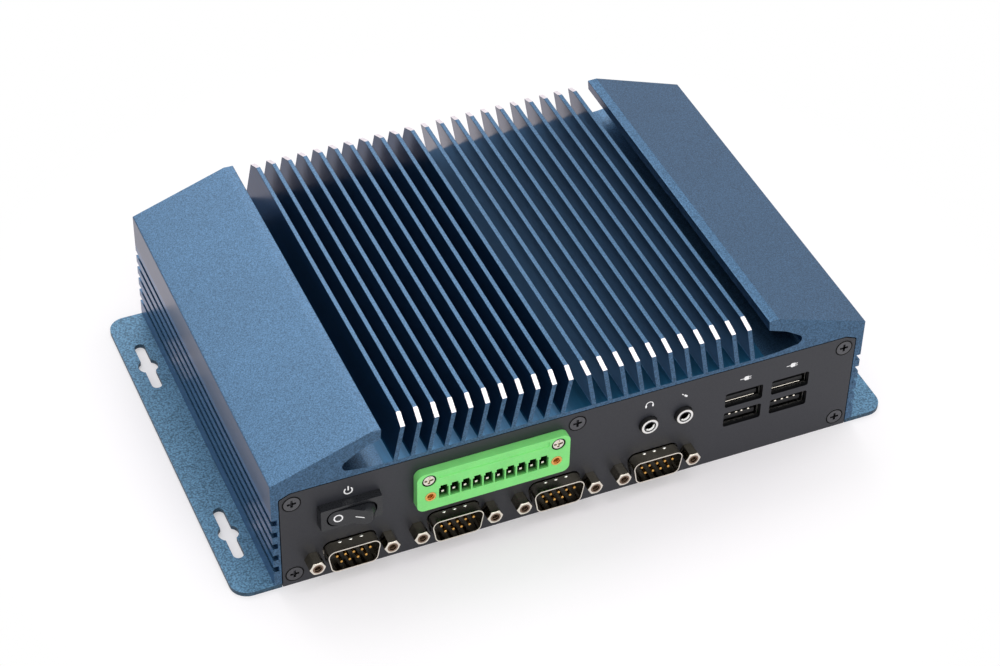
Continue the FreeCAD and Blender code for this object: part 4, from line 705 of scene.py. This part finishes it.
def ellipsoid(work, centre, size):
    made = bmesh.ops.create_uvsphere(work, u_segments=20, v_segments=12, radius=0.5 * MM)
    for vertex in made["verts"]:
        vertex.co = Vector(centre) + Vector(
            (vertex.co.x * size[0], vertex.co.y * size[1], vertex.co.z * size[2]))


def box_solid(work, low, high):
    made = bmesh.ops.create_cube(work, size=1.0)
    middle = (Vector(low) + Vector(high)) / 2
    span = Vector(high) - Vector(low)
    for vertex in made["verts"]:
        vertex.co = middle + Vector(
            (vertex.co.x * span.x, vertex.co.y * span.y, vertex.co.z * span.z))


def thread_ring(work, centre, major, minor, around=28, section=8):
    """One turn of an inside thread, round an axis along Y."""
    rings = []
    for index in range(around):
        angle = 2 * math.pi * index / around
        ring = []
        for step in range(section):
            turn = 2 * math.pi * step / section
            reach = major + minor * math.cos(turn)
            ring.append(work.verts.new(Vector(centre) + Vector(
                (reach * math.cos(angle), minor * math.sin(turn),
                 reach * math.sin(angle))) * MM))
        rings.append(ring)
    for index in range(around):
        following = rings[(index + 1) % around]
        for step in range(section):
            after = (step + 1) % section
            work.faces.new((rings[index][step], rings[index][after],
                            following[after], following[step]))


def cylinder_bar(work, ends, y, z, radius, around=20):
    """A round bar that lies along X."""
    rings = [[work.verts.new((x, y + radius * MM * math.cos(2 * math.pi * step / around),
                              z + radius * MM * math.sin(2 * math.pi * step / around)))
              for step in range(around)] for x in ends]
    for step in range(around):
        after = (step + 1) % around
        work.faces.new((rings[0][step], rings[0][after], rings[1][after], rings[1][step]))
    for ring in rings:
        work.faces.new(ring)


def tube(work, centre, inner, outer, start, end, around=40, flare=0.0):
    """A closed ring round an axis along Y, from one y to another.

    The flare is how much wider the inner radius is at the end.
    """
    x, z = centre
    rings = []
    for radius, y in ((inner, start), (outer, start), (outer, end), (inner + flare, end)):
        rings.append([work.verts.new((
            x + radius * MM * math.cos(2 * math.pi * step / around), y,
            z + radius * MM * math.sin(2 * math.pi * step / around)))
            for step in range(around)])
    for index, ring in enumerate(rings):
        following = rings[(index + 1) % len(rings)]
        for step in range(around):
            after = (step + 1) % around
            work.faces.new((ring[step], ring[after], following[after], following[step]))


def shell_dimples():
    """The pressed bumps that earth a plug, on the serial ports' shells."""
    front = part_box("front_panel")[0].y
    for number in range(1, 5):
        shell = centre_of(f"com_shell_{number}")

        def build(work):
            for step in (-1, 0, 1):
                ellipsoid(work, (shell.x + step * DIMPLE_PITCH, front - DIMPLE_AHEAD,
                                 shell.z + SHELL_RISE), DIMPLE_SIZE)

        shade_smooth(add_piece(f"shell_dimples_{number}", build, "bright_spot"))


def screw_shadow_rings():
    """Painted shadow: dark rings round the screw heads that sit in countersinks, on the panel and on the header.
    """
    low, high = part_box("front_panel_screws")
    reach = SCREW_HEAD * MM
    panel = [(x, z) for x in (low.x + reach, high.x - reach)
             for z in (low.z + reach, high.z - reach)] + [(0, high.z - reach)]

    def on_panel(work):
        for centre in panel:
            tube(work, centre, SCREW_HEAD - SHADOW_RING_WIDTH, SCREW_HEAD, low.y - PROUD, low.y)

    header_low, header_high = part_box("terminal_screws")
    head = (header_high.z - header_low.z) / 2
    level = (header_low.z + header_high.z) / 2

    def on_header(work):
        for x in (header_low.x + head, header_high.x - head):
            tube(work, (x, level), head / MM - 0.32, head / MM + 0.16,
                 header_low.y - PROUD, header_low.y + 2 * PROUD)

    shade_smooth(add_piece("screw_shadow_rings", on_panel, "painted_shadow_black"))
    shade_smooth(add_piece("header_screw_shadow_rings", on_header, "painted_shadow_black"))


def jack_liners():
    """The bright ring and plating of the audio jacks' mouths, and the dark gap between."""
    for number in (1, 2):
        low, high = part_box(f"audio_sleeve_{number}")
        centre = ((low.x + high.x) / 2, (low.z + high.z) / 2)

        def liner(work):
            tube(work, centre, *JACK_RING, low.y - 0.01 * MM, low.y + PROUD)
            tube(work, centre, *JACK_PLATING, low.y + 0.1 * MM, low.y + 0.6 * MM, flare=-0.28)

        def mouth(work):
            tube(work, centre, *JACK_GAP, low.y - 0.012 * MM, low.y + PROUD)

        shade_smooth(add_piece(f"jack_liner_{number}", liner, "chrome"))
        add_piece(f"jack_mouth_{number}", mouth, "black_plastic")


def screw_threads():
    """Threads inside the jackscrews and the header's inserts, and painted shade in the jackscrews' mouths."""
    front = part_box("front_panel")[0].y
    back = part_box("rear_panel")[1].y
    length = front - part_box("jackscrews")[0].y
    ports = [(centre_of(f"com_shell_{number}"), front - length, 1) for number in range(1, 5)]
    ports.append((centre_of("vga_shell"), back + length, -1))
    axes = [(shell.x + side * JACKSCREW_REACH, shell.z, mouth, inward)
            for shell, mouth, inward in ports for side in (-1, 1)]

    def jackscrew_turns(work):
        for x, z, mouth, inward in axes:
            for turn in range(JACKSCREW_TURNS):
                y = mouth + inward * (0.75 * MM + turn * JACKSCREW_PITCH)
                thread_ring(work, (x, y, z), *JACKSCREW_THREAD)

    low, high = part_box("terminal_inserts")
    radius = (high.z - low.z) / 2

    def insert_turns(work):
        for x in (low.x + radius, high.x - radius):
            for turn in range(1, INSERT_TURNS + 1):
                y = low.y + turn * INSERT_PITCH
                thread_ring(work, (x, y, (low.z + high.z) / 2), *INSERT_THREAD)

    # painted shade: a dark brown ring just in front of each jackscrew's face, standing in for its countersink in
    # shade
    def shaded_mouths(work):
        for x, z, mouth, inward in axes:
            edges = sorted((mouth - inward * 0.015 * MM, mouth + inward * PROUD))
            tube(work, (x, z), *JACKSCREW_MOUTH_SHADE, *edges)

    shade_smooth(add_piece("jackscrew_mouth_shade", shaded_mouths, "brown_metal_and_shade"))
    shade_smooth(add_piece("jackscrew_threads", jackscrew_turns, "brown_metal_and_shade"))
    shade_smooth(add_piece("insert_threads", insert_turns, "brass_insert"))


def usb_contacts():
    """Contacts on each tongue, and the sprung strips on the floor and walls of the shell."""
    for stack, facing in (("usb_1", -1), ("usb_2", -1), ("rear_usb", 1)):
        low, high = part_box(f"{stack}_tongues")
        shell_low, shell_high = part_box(f"{stack}_shell")
        mouth = shell_low.y if facing < 0 else shell_high.y
        middle = (low.x + high.x) / 2
        tip = low.y if facing < 0 else high.y
        tops = (low.z + TONGUE, high.z)

        def depths(first, last, start=mouth):
            """The y range between two depths in millimetres behind a start."""
            return sorted((start - facing * first * MM, start - facing * last * MM))

        def contacts(work):
            near, far = depths(2.5, 7.5, tip)
            for top in tops:
                for offset in USB_CONTACTS:
                    x = middle + offset
                    box_solid(work, (x - 0.5 * MM, near, top - 0.05 * MM),
                              (x + 0.5 * MM, far, top + 0.12 * MM))

        def contact_tips(work):
            y = depths(0.2, 0.2, tip)[0]
            for offset in USB_CONTACTS:
                ellipsoid(work, (middle + offset, y, tops[0] + 0.05 * MM), (1.1, 0.6, 0.8))

        def springs(work):
            near, far = depths(0.8, 6.0)
            for top in tops:
                for wall, side in ((shell_high.x - SHEET, -1), (shell_low.x + SHEET, 1)):
                    edges = sorted((wall - side * 0.05 * MM, wall + side * 0.30 * MM))
                    box_solid(work, (edges[0], near, top + 0.2 * MM),
                              (edges[1], far, top + 2.1 * MM))

        def floor_springs(work):
            low_y, high_y = depths(0.5, 1.1)
            bottom = high.z - TONGUE - 0.75 * MM
            ends = (shell_low.x + 0.5 * MM, shell_high.x - 1.6 * MM)
            cylinder_bar(work, ends, (low_y + high_y) / 2, bottom, 0.22)

        soften_edges(add_piece(f"{stack}_contacts", contacts, "gold_contact"), 0.04)
        shade_smooth(add_piece(f"{stack}_contact_tips", contact_tips, "nickel"))
        soften_edges(add_piece(f"{stack}_springs", springs, "nickel"), 0.08)
        shade_smooth(add_piece(f"{stack}_floor_springs", floor_springs, "nickel"))


def lan_contacts():
    """Eight sprung wires in each network socket."""
    for number in (1, 2):
        low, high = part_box(f"lan_port_{number}")
        middle = (low.x + high.x) / 2

        def wires(work):
            for index in range(LAN_WIRES):
                x = middle + (index - (LAN_WIRES - 1) / 2) * LAN_PITCH - LAN_WIRE / 2 * MM
                place = Matrix(((0, 0, 1, x), (1, 0, 0, high.y), (0, 1, 0, low.z),
                                (0, 0, 0, 1)))
                prism(work, LAN_BEND, place, LAN_WIRE)

        add_piece(f"lan_contacts_{number}", wires, "gold_contact")


# ---------------------------------------------------------------- stage, light and camera

FLOOR_TINT = (0.775, 0.75, 0.775)
FLOOR_GLOW = 0.235
FLOOR_HALF = 3.0
FLOOR_BELOW = 0.05 * MM
WHITE_FROM, WHITE_BEYOND = 0.09, 0.195
AMBIENT = 0.75

# each lamp's place, width and power
LAMPS = {
    "back_softbox": ((-0.02, 0.80, 0.98), 0.9, 5.4),
    "overhead": ((0.35, 0.02, 1.15), 0.5, 1.6),
    "front_fill": ((0.25, -1.25, 0.75), 1.0, 6.0),
}
LAMP_AIM = (0, 0, 0.03)

CAMERA_PLACE = (-0.26756, -0.60576, 0.60505)
CAMERA_AIM = (-0.00120, -0.01050, 0.02500)
CAMERA_ROLL = math.radians(1.52)
CAMERA_LENS = 93.64


def seen_directly(tree):
    """One where the camera, a mirror or a lens looks, and zero for all other light."""
    path = tree.nodes.new("ShaderNodeLightPath")
    seen = path.outputs["Is Camera Ray"]
    for name in ("Is Glossy Ray", "Is Transmission Ray"):
        either = tree.nodes.new("ShaderNodeMath")
        either.operation = "MAXIMUM"
        tree.links.new(seen, either.inputs[0])
        tree.links.new(path.outputs[name], either.inputs[1])
        seen = either.outputs["Value"]
    return seen


def make_floor():
    """A pale floor: paper that takes the shadow, and pure white further away."""
    material = bpy.data.materials.new("pale_floor")
    material.use_nodes = True
    tree = material.node_tree
    tree.nodes.clear()

    def node(kind, **values):
        made = tree.nodes.new(kind)
        for name, value in values.items():
            made.inputs[name.replace("_", " ")].default_value = value
        return made

    paper = node("ShaderNodeBsdfDiffuse", Color=(*FLOOR_TINT, 1))
    seen = seen_directly(tree)
    glow = node("ShaderNodeEmission")
    strength = node("ShaderNodeMapRange", To_Max=FLOOR_GLOW)
    tree.links.new(seen, strength.inputs["Value"])
    tree.links.new(strength.outputs["Result"], glow.inputs["Strength"])
    near = tree.nodes.new("ShaderNodeAddShader")
    tree.links.new(paper.outputs[0], near.inputs[0])
    tree.links.new(glow.outputs[0], near.inputs[1])

    white = node("ShaderNodeEmission")
    place = tree.nodes.new("ShaderNodeTexCoord")
    reach = node("ShaderNodeVectorMath")
    reach.operation = "LENGTH"
    tree.links.new(place.outputs["Object"], reach.inputs[0])
    away = node("ShaderNodeMapRange", From_Min=WHITE_FROM, From_Max=WHITE_BEYOND)
    away.interpolation_type = "SMOOTHSTEP"
    tree.links.new(reach.outputs["Value"], away.inputs["Value"])
    part = node("ShaderNodeMath")
    part.operation = "MULTIPLY"
    tree.links.new(away.outputs["Result"], part.inputs[0])
    tree.links.new(seen, part.inputs[1])
    whole = tree.nodes.new("ShaderNodeMixShader")
    tree.links.new(part.outputs["Value"], whole.inputs["Fac"])
    tree.links.new(near.outputs[0], whole.inputs[1])
    tree.links.new(white.outputs[0], whole.inputs[2])
    output = tree.nodes.new("ShaderNodeOutputMaterial")
    tree.links.new(whole.outputs[0], output.inputs["Surface"])

    mesh = bpy.data.meshes.new("floor")
    level = CAD_BOX[0][2] - FLOOR_BELOW
    corners = [(x * FLOOR_HALF, y * FLOOR_HALF, level)
               for x, y in ((-1, -1), (1, -1), (1, 1), (-1, 1))]
    mesh.from_pydata(corners, [], [(0, 1, 2, 3)])
    floor = bpy.data.objects.new("floor", mesh)
    mesh.materials.append(material)
    bpy.context.scene.collection.objects.link(floor)


def make_world():
    """Even light from all round, and pure white where it is looked at."""
    world = bpy.data.worlds.new("studio")
    world.use_nodes = True
    tree = world.node_tree
    background = tree.nodes["Background"]
    strength = tree.nodes.new("ShaderNodeMapRange")
    strength.inputs["To Min"].default_value = AMBIENT
    strength.inputs["To Max"].default_value = 1.0
    tree.links.new(seen_directly(tree), strength.inputs["Value"])
    tree.links.new(strength.outputs["Result"], background.inputs["Strength"])
    background.inputs["Color"].default_value = (1, 1, 1, 1)
    bpy.context.scene.world = world


def soft_box(name, place, size, watts):
    """A square lamp that faces the object."""
    data = bpy.data.lights.new(name, "AREA")
    data.shape = "SQUARE"
    data.size = size
    data.energy = watts
    lamp = bpy.data.objects.new(name, data)
    lamp.location = place
    aim = Vector(LAMP_AIM) - Vector(place)
    lamp.rotation_euler = aim.to_track_quat("-Z", "Y").to_euler()
    bpy.context.scene.collection.objects.link(lamp)


def make_camera():
    """The camera stands in front, a little to the left, and looks down on the top."""
    data = bpy.data.cameras.new("camera")
    data.sensor_width = 36.0
    data.lens = CAMERA_LENS
    camera = bpy.data.objects.new("camera", data)
    place = Vector(CAMERA_PLACE)
    look = (Vector(CAMERA_AIM) - place).to_track_quat("-Z", "Y")
    roll = Matrix.Rotation(CAMERA_ROLL, 3, "Z").to_quaternion()
    camera.rotation_mode = "QUATERNION"
    camera.rotation_quaternion = look @ roll
    camera.location = place
    bpy.context.scene.collection.objects.link(camera)
    bpy.context.scene.camera = camera


dress_solids()
print_marks()
rocker_marks()
shell_dimples()
screw_shadow_rings()
jack_liners()
screw_threads()
usb_contacts()
lan_contacts()

make_floor()
make_world()
for lamp_name, lamp_values in LAMPS.items():
    soft_box(lamp_name, *lamp_values)
make_camera()
bpy.context.scene.view_settings.view_transform = "Standard"
